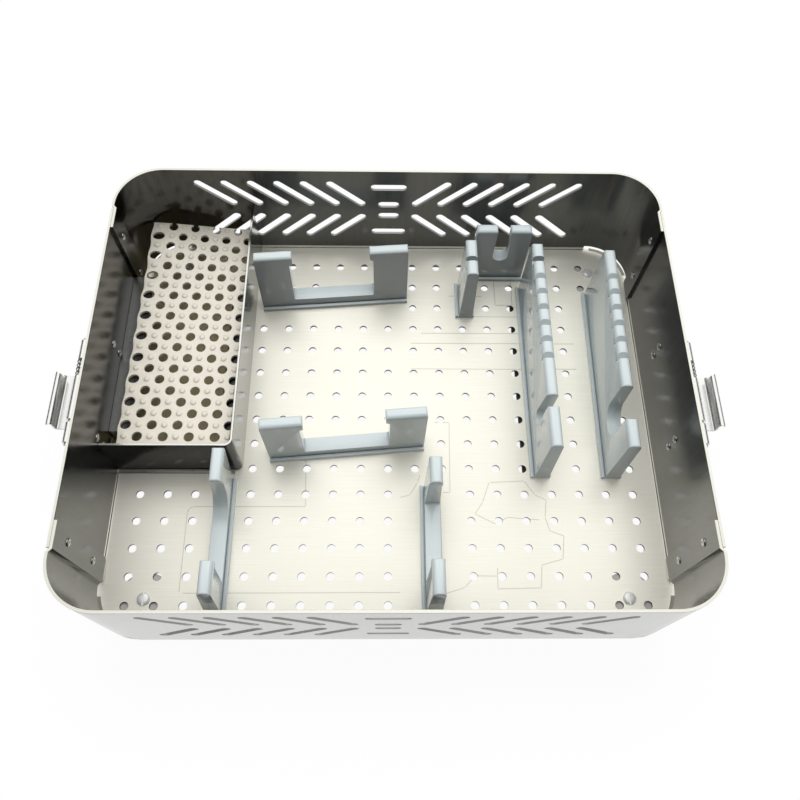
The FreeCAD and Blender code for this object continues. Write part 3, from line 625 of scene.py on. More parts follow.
def band_group():
    """One between two values of a coordinate and nought outside, with a soft step at each end."""
    group, entry, leave = node_group("Band", (("Value", 0.0), ("Low", 0.0), ("High", 1.0), ("Step", 0.001)),
                                     ("Within",))
    rise = maths(group, "DIVIDE", maths(group, "SUBTRACT", entry.outputs["Value"], entry.outputs["Low"]),
                 entry.outputs["Step"])
    fall = maths(group, "DIVIDE", maths(group, "SUBTRACT", entry.outputs["High"], entry.outputs["Value"]),
                 entry.outputs["Step"])
    lower = maths(group, "MINIMUM", rise, fall)
    group.links.new(maths(group, "MINIMUM", maths(group, "MAXIMUM", lower, 0.0), 1.0), leave.inputs["Within"])
    return group


def speckle_group():
    """Soft grain of a moulded or rubber surface with sparse specks."""
    group, entry, leave = node_group("Moulded grain", (("Scale", 900.0), ("Speck Scale", 160.0)),
                                     ("Grain", "Specks"))
    link = group.links.new
    place = group.nodes.new("ShaderNodeTexCoord")
    grain = group.nodes.new("ShaderNodeTexNoise")
    grain.inputs["Detail"].default_value = 2.0
    link(place.outputs["Object"], grain.inputs["Vector"])
    link(entry.outputs["Scale"], grain.inputs["Scale"])
    specks = group.nodes.new("ShaderNodeTexVoronoi")
    link(place.outputs["Object"], specks.inputs["Vector"])
    link(entry.outputs["Speck Scale"], specks.inputs["Scale"])
    link(grain.outputs["Fac"], leave.inputs["Grain"])
    link(specks.outputs["Distance"], leave.inputs["Specks"])
    return group


def ranged(tree, value, low, high, from_low=0.3, from_high=0.7):
    """Value spread from one range to another."""
    node = tree.nodes.new("ShaderNodeMapRange")
    node.inputs["From Min"].default_value = from_low
    node.inputs["From Max"].default_value = from_high
    node.inputs["To Min"].default_value = low
    node.inputs["To Max"].default_value = high
    tree.links.new(value, node.inputs["Value"])
    return node.outputs["Result"]


def tinted(tree, factor, dark, light):
    """Colour between two, by a factor."""
    node = tree.nodes.new("ShaderNodeMix")
    node.data_type = "RGBA"
    colours = [socket for socket in node.inputs if socket.type == "RGBA"]
    colours[0].default_value = (*dark, 1.0)
    colours[1].default_value = (*light, 1.0)
    tree.links.new(factor, node.inputs["Factor"])
    return [socket for socket in node.outputs if socket.type == "RGBA"][0]


def darkened(tree, tone, amount):
    """Colour scaled by a value."""
    node = tree.nodes.new("ShaderNodeVectorMath")
    node.operation = "SCALE"
    tree.links.new(tone, node.inputs[0])
    tree.links.new(amount, node.inputs["Scale"])
    return node.outputs["Vector"]


def new_material(name):
    """Material with its Principled shader."""
    material = bpy.data.materials.new(name)
    material.use_nodes = True
    return material, material.node_tree, material.node_tree.nodes["Principled BSDF"]


def placed_group(tree, group, **values):
    """Copy of a shader node group in a material, with its own values."""
    node = tree.nodes.new("ShaderNodeGroup")
    node.node_tree = bpy.data.node_groups[group]
    for label, value in values.items():
        node.inputs[label.replace("_", " ")].default_value = value
    return node


def shade(base, amount):
    """Colour times an amount."""
    return tuple(min(1.0, c * amount) for c in base)


def axes_of(tree, source, output):
    """X, Y and Z of a vector output, by name."""
    parts = tree.nodes.new("ShaderNodeSeparateXYZ")
    tree.links.new(tree.nodes.new(source).outputs[output], parts.inputs["Vector"])
    return {axis: parts.outputs[axis] for axis in "XYZ"}


def within(tree, value, low, high, step):
    """One where a value lies between two others."""
    band = placed_group(tree, "Band", Low=low, High=high, Step=step)
    tree.links.new(value, band.inputs["Value"])
    return band.outputs["Within"]


def mixed(tree, factor, first, second):
    """Colour mixed from two, each a socket or a plain colour."""
    node = tree.nodes.new("ShaderNodeMix")
    node.data_type = "RGBA"
    colours = [socket for socket in node.inputs if socket.type == "RGBA"]
    tree.links.new(factor, node.inputs["Factor"])
    for socket, value in zip(colours, (first, second)):
        if isinstance(value, tuple):
            socket.default_value = (*value, 1.0)
        else:
            tree.links.new(value, socket)
    return [socket for socket in node.outputs if socket.type == "RGBA"][0]


def wall_painted_light(tree, tone, inner):
    """Walls with painted reflections: the dark room as painted shade on their inner faces, deeper towards the rear and
    left, and the bright floor in their bends; also a painted shade line outside just below the rim and a painted
    highlight on the rim.
    """
    place = axes_of(tree, "ShaderNodeTexCoord", "Object")
    inside = maths(tree, "SUBTRACT", 1.0, placed_group(tree, "Facing outwards").outputs["Outwards"])
    along = ranged(tree, place["Y"], 1.3, 0.72, -0.105, 0.03)
    across = ranged(tree, place["X"], 0.8, 0.92, -0.1, 0.02)
    # painted shade: inner faces darkened by the inner factor, more towards the rear and the left
    dim = maths(tree, "MULTIPLY", maths(tree, "MULTIPLY", along, across), inner)
    dark = darkened(tree, tone, dim)
    tone = mixed(tree, inside, tone, dark)
    # painted reflection of the bright floor on the inner bends at the floor
    bend = maths(tree, "MULTIPLY", inside, within(tree, place["Z"], 0.008, 0.0125, 0.0008))
    tone = mixed(tree, bend, tone, (0.9, 0.89, 0.82))
    # painted shade: thin dark line on the outer faces just below the rim
    edge = maths(tree, "SUBTRACT", 1.0, inside)
    tone = mixed(tree, maths(tree, "MULTIPLY", edge, within(tree, place["Z"], 0.0791, 0.0799, 0.0001)), tone,
                 (0.28, 0.27, 0.22))
    # painted highlight on the rim
    return mixed(tree, within(tree, place["Z"], 0.0799, 1.0, 0.00005), tone, (0.95, 0.94, 0.86))


def cut_faces(tree):
    """One on the cut faces of the slots, which are matt and light."""
    place = axes_of(tree, "ShaderNodeTexCoord", "Object")
    up = axes_of(tree, "ShaderNodeNewGeometry", "True Normal")["Z"]
    steep = maths(tree, "GREATER_THAN", maths(tree, "ABSOLUTE", up, 0.0), 0.3)
    return maths(tree, "MULTIPLY", steep, within(tree, place["Z"], 0.02, 0.075, 0.001))


def bay_painted_light(tree, tone):
    """Bay wall: painted shade, deepest where it faces the front, and a painted highlight on its upper edges and other
    faces that look up.
    """
    facing = axes_of(tree, "ShaderNodeNewGeometry", "True Normal")
    # painted shade, deepest on faces that look to the front
    dark = darkened(tree, tone, ranged(tree, facing["Y"], 0.18, 0.75, -0.6, -0.2))
    # painted highlight on faces that look up
    return mixed(tree, maths(tree, "GREATER_THAN", facing["Z"], 0.4), dark, (0.9, 0.9, 0.86))


def ledge_painted_shade(tree, tone):
    """Ledges with painted shade: slight beside the end wall, so they look as light as the wall there, and deep below
    the mat.
    """
    far = maths(tree, "ABSOLUTE", axes_of(tree, "ShaderNodeTexCoord", "Object")["X"], 0.0)
    # painted shade, deeper towards the mat
    return darkened(tree, tone, ranged(tree, far, 0.15, 0.85, 0.139, 0.146))


def latch_painted_highlight(tree, tone):
    """Latches with a painted highlight, near white, on the faces that look up."""
    up = axes_of(tree, "ShaderNodeNewGeometry", "True Normal")["Z"]
    # painted highlight on faces that look up
    return mixed(tree, ranged(tree, up, 0.0, 1.0, 0.75, 0.95), tone, (0.98, 0.98, 0.97))


def floor_painted_light(tree, tone):
    """Floor with painted light: lighter towards the rear and right, a painted highlight on its outer edge, painted
    shade below the mat, on the ears under the corner walls and on the walls of its holes, and faint etched outlines.
    """
    place = axes_of(tree, "ShaderNodeTexCoord", "Object")
    up = axes_of(tree, "ShaderNodeNewGeometry", "True Normal")["Z"]
    far = {axis: maths(tree, "ABSOLUTE", place[axis], 0.0) for axis in "XY"}
    # painted light: lighter towards the rear and the right
    lift = maths(tree, "MAXIMUM", ranged(tree, place["Y"], 1.0, 1.16, 0.03, 0.09),
                 ranged(tree, place["X"], 1.0, 1.14, 0.08, 0.12))
    tone = darkened(tree, tone, lift)
    # painted highlight along the bends of the floor's outer edges
    bend_highlight = [maths(tree, "MULTIPLY", within(tree, far[a], edge, 0.2, 0.0001), within(tree, far[b], -1.0, end, 0.001))
             for a, b, edge, end in (("X", "Y", 0.1475, 0.093), ("Y", "X", 0.1190, 0.1245))]
    tone = mixed(tree, maths(tree, "MAXIMUM", *bend_highlight), tone, (0.95, 0.94, 0.88))
    # painted shade on the floor below the mat
    bay = maths(tree, "MULTIPLY", within(tree, place["X"], -0.1465, -0.082, 0.001),
                within(tree, place["Y"], -0.029, 0.118, 0.001))
    tone = mixed(tree, bay, tone, (0.60, 0.53, 0.33))
    etched = within(tree, place["Z"], 0.0097, 0.00996, 0.00001)
    tone = mixed(tree, etched, tone, (0.58, 0.57, 0.49))
    # painted shade on the ears beyond the corners' inner radius, under the walls' corners
    ear = maths(tree, "MULTIPLY", within(tree, far["X"], 0.1285, 1.0, 0.0001), within(tree, far["Y"], 0.1, 1.0, 0.0001))
    off = [maths(tree, "SUBTRACT", far[axis], centre) for axis, centre in (("X", 0.125), ("Y", 0.0965))]
    reach = maths(tree, "SQRT", maths(tree, "ADD", maths(tree, "MULTIPLY", off[0], off[0]),
                                      maths(tree, "MULTIPLY", off[1], off[1])), 0.0)
    past = maths(tree, "MULTIPLY", within(tree, reach, 0.0226, 1.0, 0.0003), maths(tree, "GREATER_THAN", up, 0.5))
    tone = mixed(tree, maths(tree, "MULTIPLY", ear, past), tone, (0.25, 0.245, 0.2))
    # painted shade on the walls of the holes
    side = maths(tree, "LESS_THAN", maths(tree, "ABSOLUTE", up, 0.0), 0.5)
    holed = maths(tree, "MULTIPLY", within(tree, far["X"], -1.0, 0.14, 0.001), within(tree, far["Y"], -1.0, 0.112, 0.001))
    return mixed(tree, maths(tree, "MULTIPLY", side, holed), tone, (0.05, 0.048, 0.04))


def steel(name, base, roughness, spread, scales, bump, variation=0.12, inner=1.0, metallic=1.0, shaping=None):
    """Brushed or polished steel sheet; with an inner factor below one, its faces that look into the case get painted
    shade by that factor, together with painted reflections and a painted highlight on the rim.
    """
    material, tree, shader = new_material(name)
    grain = placed_group(tree, "Brushed", Scale_X=scales[0], Scale_Y=scales[1], Scale_Z=scales[2])
    tone = tinted(tree, ranged(tree, grain.outputs["Lines"], 0, 1),
                  shade(base, 1 - variation), shade(base, 1 + variation / 2))
    # painted shade and painted reflections on the faces that look into the case
    if inner < 1.0:
        tone = wall_painted_light(tree, tone, inner)
    if shaping:
        tone = shaping(tree, tone)
    tree.links.new(tone, shader.inputs["Base Color"])
    rough = maths(tree, "ADD", ranged(tree, grain.outputs["Patches"], roughness - spread, roughness + spread),
                  ranged(tree, grain.outputs["Lines"], -spread, spread))
    tree.links.new(rough, shader.inputs["Roughness"])
    shader.inputs["Metallic"].default_value = metallic
    if inner < 1.0:
        cut = cut_faces(tree)
        tree.links.new(mixed(tree, cut, tone, (0.3, 0.3, 0.29)), shader.inputs["Base Color"])
        tree.links.new(ranged(tree, cut, 1.0, 0.2, 0.0, 1.0), shader.inputs["Metallic"])
    height = tree.nodes.new("ShaderNodeBump")
    height.inputs["Strength"].default_value = bump
    height.inputs["Distance"].default_value = 0.05 * MM
    tree.links.new(grain.outputs["Lines"], height.inputs["Height"])
    tree.links.new(height.outputs["Normal"], shader.inputs["Normal"])
    return material


def bracket_painted_shade(tree, tone):
    """Mouldings with painted shade on the faces that look to the front, deeper on those that stand at the rear."""
    facing = ranged(tree, axes_of(tree, "ShaderNodeNewGeometry", "True Normal")["Y"], 1.0, 0.0, -0.95, -0.68)
    rear = ranged(tree, axes_of(tree, "ShaderNodeTexCoord", "Object")["Y"], 0.15, 0.6, -0.03, 0.07)
    # painted shade on front faces, deeper for brackets at the rear
    return darkened(tree, tone, maths(tree, "SUBTRACT", 1.0, maths(tree, "MULTIPLY", facing, rear)))


def moulding(name, base, roughness, coat, bump, grain_scale, variation, shaping=None):
    """Moulded plastic, silicone or rubber."""
    material, tree, shader = new_material(name)
    grain = placed_group(tree, "Moulded grain", Scale=grain_scale)
    tone = tinted(tree, ranged(tree, grain.outputs["Grain"], 0, 1), shade(base, 1 - variation),
                  shade(base, 1 + variation))
    tree.links.new(shaping(tree, tone) if shaping else tone, shader.inputs["Base Color"])
    tree.links.new(ranged(tree, grain.outputs["Grain"], roughness - 0.03, roughness + 0.03),
                   shader.inputs["Roughness"])
    shader.inputs["Coat Weight"].default_value = coat
    shader.inputs["Coat Roughness"].default_value = 0.03
    height = tree.nodes.new("ShaderNodeBump")
    height.inputs["Strength"].default_value = bump
    height.inputs["Distance"].default_value = 0.1 * MM
    tree.links.new(grain.outputs["Grain"], height.inputs["Height"])
    tree.links.new(height.outputs["Normal"], shader.inputs["Normal"])
    return material


def finish(kind):
    """Material of one kind, made once."""
    name = kind + "_finish"
    if name in bpy.data.materials:
        return bpy.data.materials[name]
    if "Brushed" not in bpy.data.node_groups:
        brushed_group()
        facing_group()
        band_group()
        speckle_group()
    colours = bpy.context.scene.case_colours
    makers = {
        "floor_steel": lambda: steel(name, colours.floor, 0.36, 0.03, (30, 1800, 400), 0.1, 0.05, metallic=0.4,
                                      shaping=floor_painted_light),
        # the walls get painted shade on their inner faces by the factor 0.42
        "wall_steel": lambda: steel(name, colours.wall, 0.20, 0.03, (500, 500, 40), 0.2, inner=0.42),
        "bay_steel": lambda: steel(name, colours.wall, 0.18, 0.03, (500, 500, 40), 0.2, shaping=bay_painted_light),
        "screw_steel": lambda: steel(name, shade(colours.bright, 1.25), 0.35, 0.03, (300, 300, 300), 0.1, metallic=0.5),
        "strip_black": lambda: moulding(name, (0.01, 0.01, 0.01), 0.5, 0.0, 0.05, 900.0, 0.1),
        "ledge_steel": lambda: steel(name, colours.wall, 0.3, 0.03, (500, 500, 40), 0.2, shaping=ledge_painted_shade),
        "spring_steel": lambda: steel(name, shade(colours.bright, 0.5), 0.2, 0.02, (300, 300, 300), 0.1),
        "rivet_steel": lambda: steel(name, colours.bright, 0.18, 0.02, (300, 300, 300), 0.1),
        "latch_steel": lambda: steel(name, colours.bright, 0.22, 0.03, (900, 60, 900), 0.15, shaping=latch_painted_highlight),
        "bracket_grey": lambda: moulding(name, colours.bracket, 0.2, 0.7, 0.03, 1500.0, 0.02,
                                         bracket_painted_shade),
        "mat_silicone": lambda: moulding(name, colours.mat, 0.32, 0.35, 0.05, 900.0, 0.03),
        "foot_rubber": lambda: moulding(name, colours.foot, 0.55, 0.0, 0.2, 1200.0, 0.06),
    }
    return makers[kind]()


# Walls and floor


def folded_profile(sizes, face):
    """Section of a wall sheet whose lower edge is bent inwards below the floor."""
    foot = sizes.floor_under - sizes.sheet
    return rounded(((-face, sizes.rim), (-face, foot, sizes.bend + sizes.sheet),
                    (-face + sizes.flange, foot), (-face + sizes.flange, sizes.floor_under),
                    (-face + sizes.sheet, sizes.floor_under, sizes.bend), (-face + sizes.sheet, sizes.rim)))


def wrap_stations(sizes):
    """Sections of a panel from its flat part round the right corner to the end of its lap."""
    half_x = sizes.length / 2
    half_y = sizes.width / 2
    radius = sizes.corner_radius
    reach = half_y - sizes.wrap
    steps = 16
    plan = []
    for k in range(steps + 1):
        angle = -math.pi / 2 + math.pi / 2 * k / steps
        out = Vector((math.cos(angle), math.sin(angle)))
        plan.append((Vector((half_x - radius, -half_y + radius)) + out * radius, out, sizes.relief))
    side = Vector((1.0, 0.0))
    lap_start = -reach + sizes.joggle
    lap_end = lap_start + sizes.lap
    inner = half_x - sizes.sheet
    plan.append((Vector((half_x, -reach)), side, sizes.relief))
    plan.append((Vector((inner, lap_start)), side, sizes.relief))
    lap_low = sizes.floor_under + sizes.floor_sheet + sizes.lap_foot
    r = sizes.lap_round
    for k in range(1, 7):
        angle = math.pi / 2 * k / 6
        plan.append((Vector((inner, lap_start + r * (1 - math.cos(angle)))), side,
                     lap_low + r * (1 - math.sin(angle))))
    for k in range(7):
        angle = math.pi / 2 * k / 6
        plan.append((Vector((inner, lap_end - r * (1 - math.sin(angle)))), side,
                     lap_low + r * (1 - math.cos(angle))))
    stations = []
    for point, out, low in plan:
        inside = point - out * sizes.sheet
        stations.append([(point.x, point.y, low), (point.x, point.y, sizes.rim),
                         (inside.x, inside.y, sizes.rim), (inside.x, inside.y, low)])
    return stations


def wrapped_panel(name, sizes):
    """Front panel without its slots: flat folded part and the two wraps."""
    flat = sizes.length / 2 - sizes.corner_radius
    panel = prism(name, folded_profile(sizes, sizes.width / 2), "yz", -flat, flat)
    for side in (1, -1):
        shape = bmesh.new()
        add_sweep(shape, [[(side * x, y, z) for x, y, z in section] for section in wrap_stations(sizes)])
        combine(panel, from_bmesh("Wrap", shape), "UNION")
    return panel


def slot_outline(half_run, half_width, segments=8):
    """Stadium outline about the origin."""
    points = []
    for end in (1, -1):
        for k in range(segments + 1):
            angle = -math.pi / 2 + math.pi * k / segments
            points.append((end * (half_run + half_width * math.cos(angle)), end * half_width * math.sin(angle)))
    return points


def slot_cutters(slots, depth):
    """Cutter of one slanted slot, set off from its near end, and the level bars."""
    run = math.hypot(slots.run, slots.high - slots.low)
    single = prism("Slot", slot_outline(run / 2, slots.width / 2), "xz", -depth, depth)
    bars = bmesh.new()
    bar_places = ((8.0, 19.8), (3.8, 5.0), (3.8, -4.9), (8.0, -19.8))
    for half, height in bar_places:
        outline = [(x, z + slots.middle + height * MM)
                   for x, z in slot_outline(half * MM, slots.width / 2)]
        add_prism(bars, outline, "xz", -depth, depth)
    return single, from_bmesh("Bars", bars)


def slotted(panel, sizes, slots, tree):
    """Cuts the slots of a front or rear panel, in place on the front."""
    depth = 4 * sizes.sheet
    single, bars = slot_cutters(slots, depth)
    bars.data.transform(Matrix.Translation((0, -sizes.width / 2, 0)))
    run_tree(panel, tree, slot=single, bars=bars, count=slots.count, pitch=slots.pitch,
             near=slots.near + slots.run / 2, middle=slots.middle, rise=(slots.low + slots.high) / 2,
             angle=math.atan2(slots.high - slots.low, slots.run), face=-sizes.width / 2,
             material=finish("wall_steel"))
    remove(single)
    remove(bars)


class CASE_OT_walls(bpy.types.Operator):
    """Front and rear panels, folded, wrapped and slotted, and the two end walls"""
    bl_idname = "case.walls"
    bl_label = "Walls"

    def execute(self, context):
        sizes = context.scene.case_body
        tree = chevron_tree()
        for name, turn in (("front_panel", 0.0), ("rear_panel", math.pi)):
            panel = wrapped_panel(name + "_sheet", sizes)
            slotted(panel, sizes, context.scene.case_slots, tree)
            panel.data.transform(Matrix.Rotation(turn, 4, "Z"))
            soften(panel, 0.18 * MM, 1)
            finish_piece(panel, "case", "wall_steel", [name])
        for name in ("left_end_wall", "right_end_wall"):
            wall = refined(name, "wall_steel")
            for vertex in wall.data.vertices:
                if abs(vertex.co.x) < sizes.length / 2 - sizes.flange + 1 * MM:
                    vertex.co.x = math.copysign(sizes.length / 2 - 0.8 * sizes.flange, vertex.co.x)
        refined("bay_wall", "bay_steel")
        for name in ("left_mat_ledge", "right_mat_ledge"):
            refined(name, "ledge_steel")
        return {"FINISHED"}


def refined(node, slot_name, body="case", width=0.15, rounds=0, swell=0.0):
    """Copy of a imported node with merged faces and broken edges, in its finish."""
    shape = bmesh.new()
    shape.from_mesh(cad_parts[node].data)
    bmesh.ops.remove_doubles(shape, verts=shape.verts, dist=0.002 * MM)
    bmesh.ops.dissolve_limit(shape, angle_limit=math.radians(1.0), verts=shape.verts, edges=shape.edges)
    copy = from_bmesh(node + "_form", shape)
    if rounds:
        tube = copy.modifiers.new("Round", "SUBSURF")
        tube.levels = rounds
        bake(copy)
        for vertex, normal in [(v, v.normal.copy()) for v in copy.data.vertices]:
            vertex.co += normal * swell * MM
    else:
        soften(copy, width * MM, 1, 40)
    return finish_piece(copy, body, slot_name, [node])


class CASE_OT_floor(bpy.types.Operator):
    """Perforated floor with its square hole pattern"""
    bl_idname = "case.floor"
    bl_label = "Floor"

    def execute(self, context):
        sizes = context.scene.case_body
        floor = context.scene.case_floor
        top = sizes.floor_under + sizes.floor_sheet
        plate = prism("floor_sheet", rounded(self.outline(sizes, floor), 16), "xy", sizes.floor_under, top)
        clear = footprints(context.scene.case_brackets, top)
        run_tree(plate, perforation_tree(), pitch=floor.pitch, columns=floor.columns, rows=floor.rows,
                 hole_diameter=floor.hole, height=top, depth=4 * sizes.floor_sheet, margin=floor.margin,
                 clear_of=clear, material=finish("floor_steel"))
        remove(clear)
        combine(plate, self.etching(top), "DIFFERENCE")
        finish_piece(plate, "case", "floor_steel", ["floor_plate"])
        return {"FINISHED"}

    def etching(self, top):
        """Cutter for the shallow outlines that mark where instruments lie."""
        shape = bmesh.new()
        for path in ETCHED_PATHS:
            for a, b in zip(path, path[1:]):
                start, end = Vector(a) * MM, Vector(b) * MM
                along = (end - start).normalized()
                across = Vector((-along.y, along.x)) * 0.2 * MM
                start += along * 0.21 * MM
                end -= along * 0.21 * MM
                add_prism(shape, [start - across, end - across, end + across, start + across], "xy",
                          top - 0.06 * MM, top + 1 * MM)
        return from_bmesh("Etching", shape)

    def outline(self, sizes, floor):
        """Outline between the walls, with an ear below each of the case's round corners."""
        x = sizes.length / 2 - sizes.sheet - floor.edge_gap
        y = sizes.width / 2 - sizes.sheet - floor.edge_gap
        step_x = sizes.length / 2 - sizes.corner_radius + floor.ear_gap
        step_y = sizes.width / 2 - sizes.wrap - sizes.joggle
        far_x = sizes.length / 2 - floor.ear_inset
        far_y = sizes.width / 2 - floor.ear_inset
        radius = far_x - step_x - floor.ear_gap
        border = []
        for sx, sy in ((1, -1), (1, 1), (-1, 1), (-1, -1)):
            corner = [(sx * step_x, sy * y), (sx * step_x, sy * far_y), (sx * far_x, sy * far_y, radius),
                      (sx * far_x, sy * step_y), (sx * x, sy * step_y)]
            border += corner if sx * sy < 0 else corner[::-1]
        return border


# Moulded brackets: u runs along a bracket, v across it from its flange side


def saddle(length, first_post, second_post, sizes, lip=2.0 * MM, seat_radius=None):
    """Two posts with inward lips on a low bar, for a tool laid across."""
    h = sizes.height
    under = h - sizes.lip_height
    r = sizes.edge_round
    seat = seat_radius or r
    return ((0, 0), (0, h, r), (first_post + lip, h, r), (first_post + lip, under),
            (first_post, under - sizes.lip_slope), (first_post, sizes.bar, r),
            (length - second_post, sizes.bar, seat), (length - second_post, under - sizes.lip_slope),
            (length - second_post - lip, under), (length - second_post - lip, h, r), (length, h, r), (length, 0))


def rail(length, front_post, gap, floor, lean, sizes):
    """Long rail with a deep slot behind its front post."""
    h = sizes.height
    r = sizes.edge_round
    back = front_post + gap
    end = gap / 2 * 0.98
    return ((0, 0), (0, h, r), (front_post, h, r), (front_post, floor, end), (back, floor, end),
            (back, floor + gap / 2 + 1 * MM), (back - lean, h, r), (length, h, r), (length, 0))


def fork(length, place, mouth, throat, floor, sizes):
    """Upright plate with a keyhole slot open to the top."""
    h = sizes.height
    r = sizes.edge_round
    left = place - throat / 2
    right = place + throat / 2
    end = throat / 2 * 0.98
    return ((0, 0), (0, h, 2 * r), (place - mouth / 2, h, r), (left, floor + throat), (left, floor, end),
            (right, floor, end), (right, floor + throat), (place + mouth / 2, h, r), (length, h, 2 * r), (length, 0))


def post(length, notch_place, notch_width, notch_depth, sizes):
    """Short post with one square notch across its top."""
    h = sizes.height
    r = sizes.edge_round
    return ((0, 0), (0, h, r), (notch_place, h), (notch_place, h - notch_depth),
            (notch_place + notch_width, h - notch_depth), (notch_place + notch_width, h),
            (length, h, r), (length, 0))


def bracket_list(sizes):
    """Each bracket's profile, length, corner on the floor, turn, flip, lean and notches."""
    r = sizes.edge_round
    return {
        "rear_saddle": (saddle(87.5 * MM, 19.5 * MM, 20.0 * MM, sizes), 87.5, (-75.8, 73.9), 4.5, 1, 1.2, ()),
        "middle_saddle": (saddle(86.0 * MM, 20.0 * MM, 19.5 * MM, sizes), 86.0, (-65.6, -24.6), 5.0, 1, -3.0, ()),
        "left_cradle": (saddle(72.5 * MM, 14.0 * MM, 15.5 * MM, sizes, seat_radius=15.0 * MM), 72.5,
                        (-84.9, -108.8), 90.0, 1, -4.3, ()),
        "front_cradle": (saddle(68.5 * MM, 15.0 * MM, 12.0 * MM, sizes), 68.5, (19.6, -109.1), 90.0, -1, 0.0, ()),
        "notched_post": (post(23.6 * MM, 9.0 * MM, 3.0 * MM, 4.5 * MM, sizes), 23.6, (43.2, 68.1), 90.0, -1, 0.0, ()),
        "forked_post": (fork(31.8 * MM, 15.9 * MM, 7.7 * MM, 9.0 * MM, 19.3 * MM, sizes), 31.8, (51.1, 97.2),
                        0.0, 1, -1.3, ()),
        "inner_rack_rail": (rail(124.7 * MM, 22.3 * MM, 8.8 * MM, 18.5 * MM, 2.6 * MM, sizes), 124.7,
                            (81.0, -35.3), 90.0, -1, 0.0, notch_row(50.4) + ((112.4, 3.0, 4.5, 4.0, 0.4),)),
        "outer_rack_rail": (rail(121.0 * MM, 15.8 * MM, 18.8 * MM, 15.6 * MM, 0.5 * MM, sizes), 121.0,
                            (120.3, -35.6), 89.2, -1, 0.0, notch_row(50.7)),
    }


def notch_row(first, pitch=10.1, count=6, slit=0.7, depth=4.8, foot=3.3, run=2.9):
    """Row of narrow slits along a rail's top, each with a slope up from it, in millimetres."""
    return tuple((first + pitch * k, slit, depth, foot, run) for k in range(count))


def bracket_section(sizes, flip, lean):
    """Section across a bracket: tapered plate, round top, flange on one side and heel on the other."""
    h = sizes.height
    shift = (sizes.base - sizes.top) / 2
    groove_foot = sizes.flange_height - sizes.groove_depth
    points = ((-sizes.flange, 0), (-sizes.flange, sizes.flange_height, 0.6 * MM),
              (-sizes.groove, sizes.flange_height), (-sizes.groove, groove_foot), (0, groove_foot),
              (0, sizes.flange_height), (shift + lean, h, sizes.top_round),
              (sizes.base - shift + lean, h, sizes.top_round), (sizes.base, sizes.heel_height),
              (sizes.base + sizes.heel, sizes.heel_height, 0.6 * MM), (sizes.base + sizes.heel, 0))
    return [(flip * p.x, p.y) for p in rounded(points, 8)]


def build_bracket(name, entry, sizes, floor_top):
    """One bracket: its section run along it, trimmed to its side profile and notched."""
    profile, run, origin, turn, flip, lean, notches = entry
    reach = 3 * sizes.base
    body = prism(name + "_moulding", bracket_section(sizes, flip, lean * MM), "yz", 0.0, run * MM)
    side = prism("Side", rounded(profile, 8), "xz", -reach, reach)
    combine(body, side, "INTERSECT")
    for place, slit, depth, foot, run in notches:
        h = sizes.height / MM
        points = [(place, h + 1), (place, h - depth), (place + slit, h - depth), (place + slit, h - foot),
                  (place + slit + run, h), (place + slit + run, h + 1)]
        notch = prism("Notch", [(u * MM, z * MM) for u, z in points], "xz", -reach, reach)
        combine(body, notch, "DIFFERENCE")
    seat = (Matrix.Translation((origin[0] * MM, origin[1] * MM, floor_top))
            @ Matrix.Rotation(math.radians(turn), 4, "Z"))
    body.data.transform(seat)
    return body


def footprints(sizes, height):
    """Flat outlines of the brackets' feet and the bay, for the hole pattern to stay clear of."""
    shape = bmesh.new()
    for profile, run, origin, turn, flip, lean, notches in bracket_list(sizes).values():
        seat = (Matrix.Translation((origin[0] * MM, origin[1] * MM, height))
                @ Matrix.Rotation(math.radians(turn), 4, "Z"))
        corners = ((0, -sizes.flange), (run * MM, -sizes.flange), (run * MM, sizes.base + sizes.heel),
                   (0, sizes.base + sizes.heel))
        shape.faces.new([shape.verts.new(seat @ Vector((u, flip * v, 0))) for u, v in corners])
    low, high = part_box("bay_wall")
    inset = 3.0 * MM
    corners = ((low.x, low.y + inset), (high.x - inset, low.y + inset), (high.x - inset, high.y), (low.x, high.y))
    shape.faces.new([shape.verts.new((x, y, height)) for x, y in corners])
    return from_bmesh("Footprints", shape)


class CASE_OT_brackets(bpy.types.Operator):
    """Eight moulded instrument brackets"""
    bl_idname = "case.brackets"
    bl_label = "Brackets"

    def execute(self, context):
        sizes = context.scene.case_brackets
        body = context.scene.case_body
        top = body.floor_under + body.floor_sheet
        # black strip under the floor below the inner rack rail, which darkens the floor's holes beside the rail
        low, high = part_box("inner_rack_rail")
        strip = [(low.x - 3.6 * MM, low.y - 2 * MM), (low.x + 2 * MM, low.y - 2 * MM),
                 (low.x + 2 * MM, high.y - 6 * MM), (low.x - 3.6 * MM, high.y - 6 * MM)]
        under = body.floor_under
        finish_piece(prism("rail_clip", strip, "xy", under - 1.6 * MM, under - 0.1 * MM), "case", "strip_black")
        for name, entry in bracket_list(sizes).items():
            bracket = build_bracket(name, entry, sizes, top)
            soften(bracket, sizes.soft_edge, 2)
            finish_piece(bracket, "case", "bracket_grey", [name])
        return {"FINISHED"}


# Silicone mat


def hole_cell(sizes):
    """Square cell with a round hole."""
    shape = bmesh.new()
    segments = 24
    half = sizes.pitch / 2
    inner = []
    outer = []
    for k in range(segments):
        angle = 2 * math.pi * (k + 0.5) / segments
        c, s = math.cos(angle), math.sin(angle)
        reach = half / max(abs(c), abs(s))
        snapped = [max(-half, min(half, value)) for value in (c * reach, s * reach)]
        inner.append(shape.verts.new((c * sizes.hole / 2, s * sizes.hole / 2, 0)))
        outer.append(shape.verts.new((*snapped, 0)))
    for k in range(segments):
        m = (k + 1) % segments
        if (k + 1) % (segments // 4) == segments // 8:
            angle = 2 * math.pi * (k + 1) / segments
            corner = shape.verts.new((math.copysign(half, math.cos(angle)), math.copysign(half, math.sin(angle)), 0))
            shape.faces.new((inner[k], outer[k], corner, outer[m], inner[m]))
        else:
            shape.faces.new((inner[k], outer[k], outer[m], inner[m]))
    return from_bmesh("Hole cell", shape)


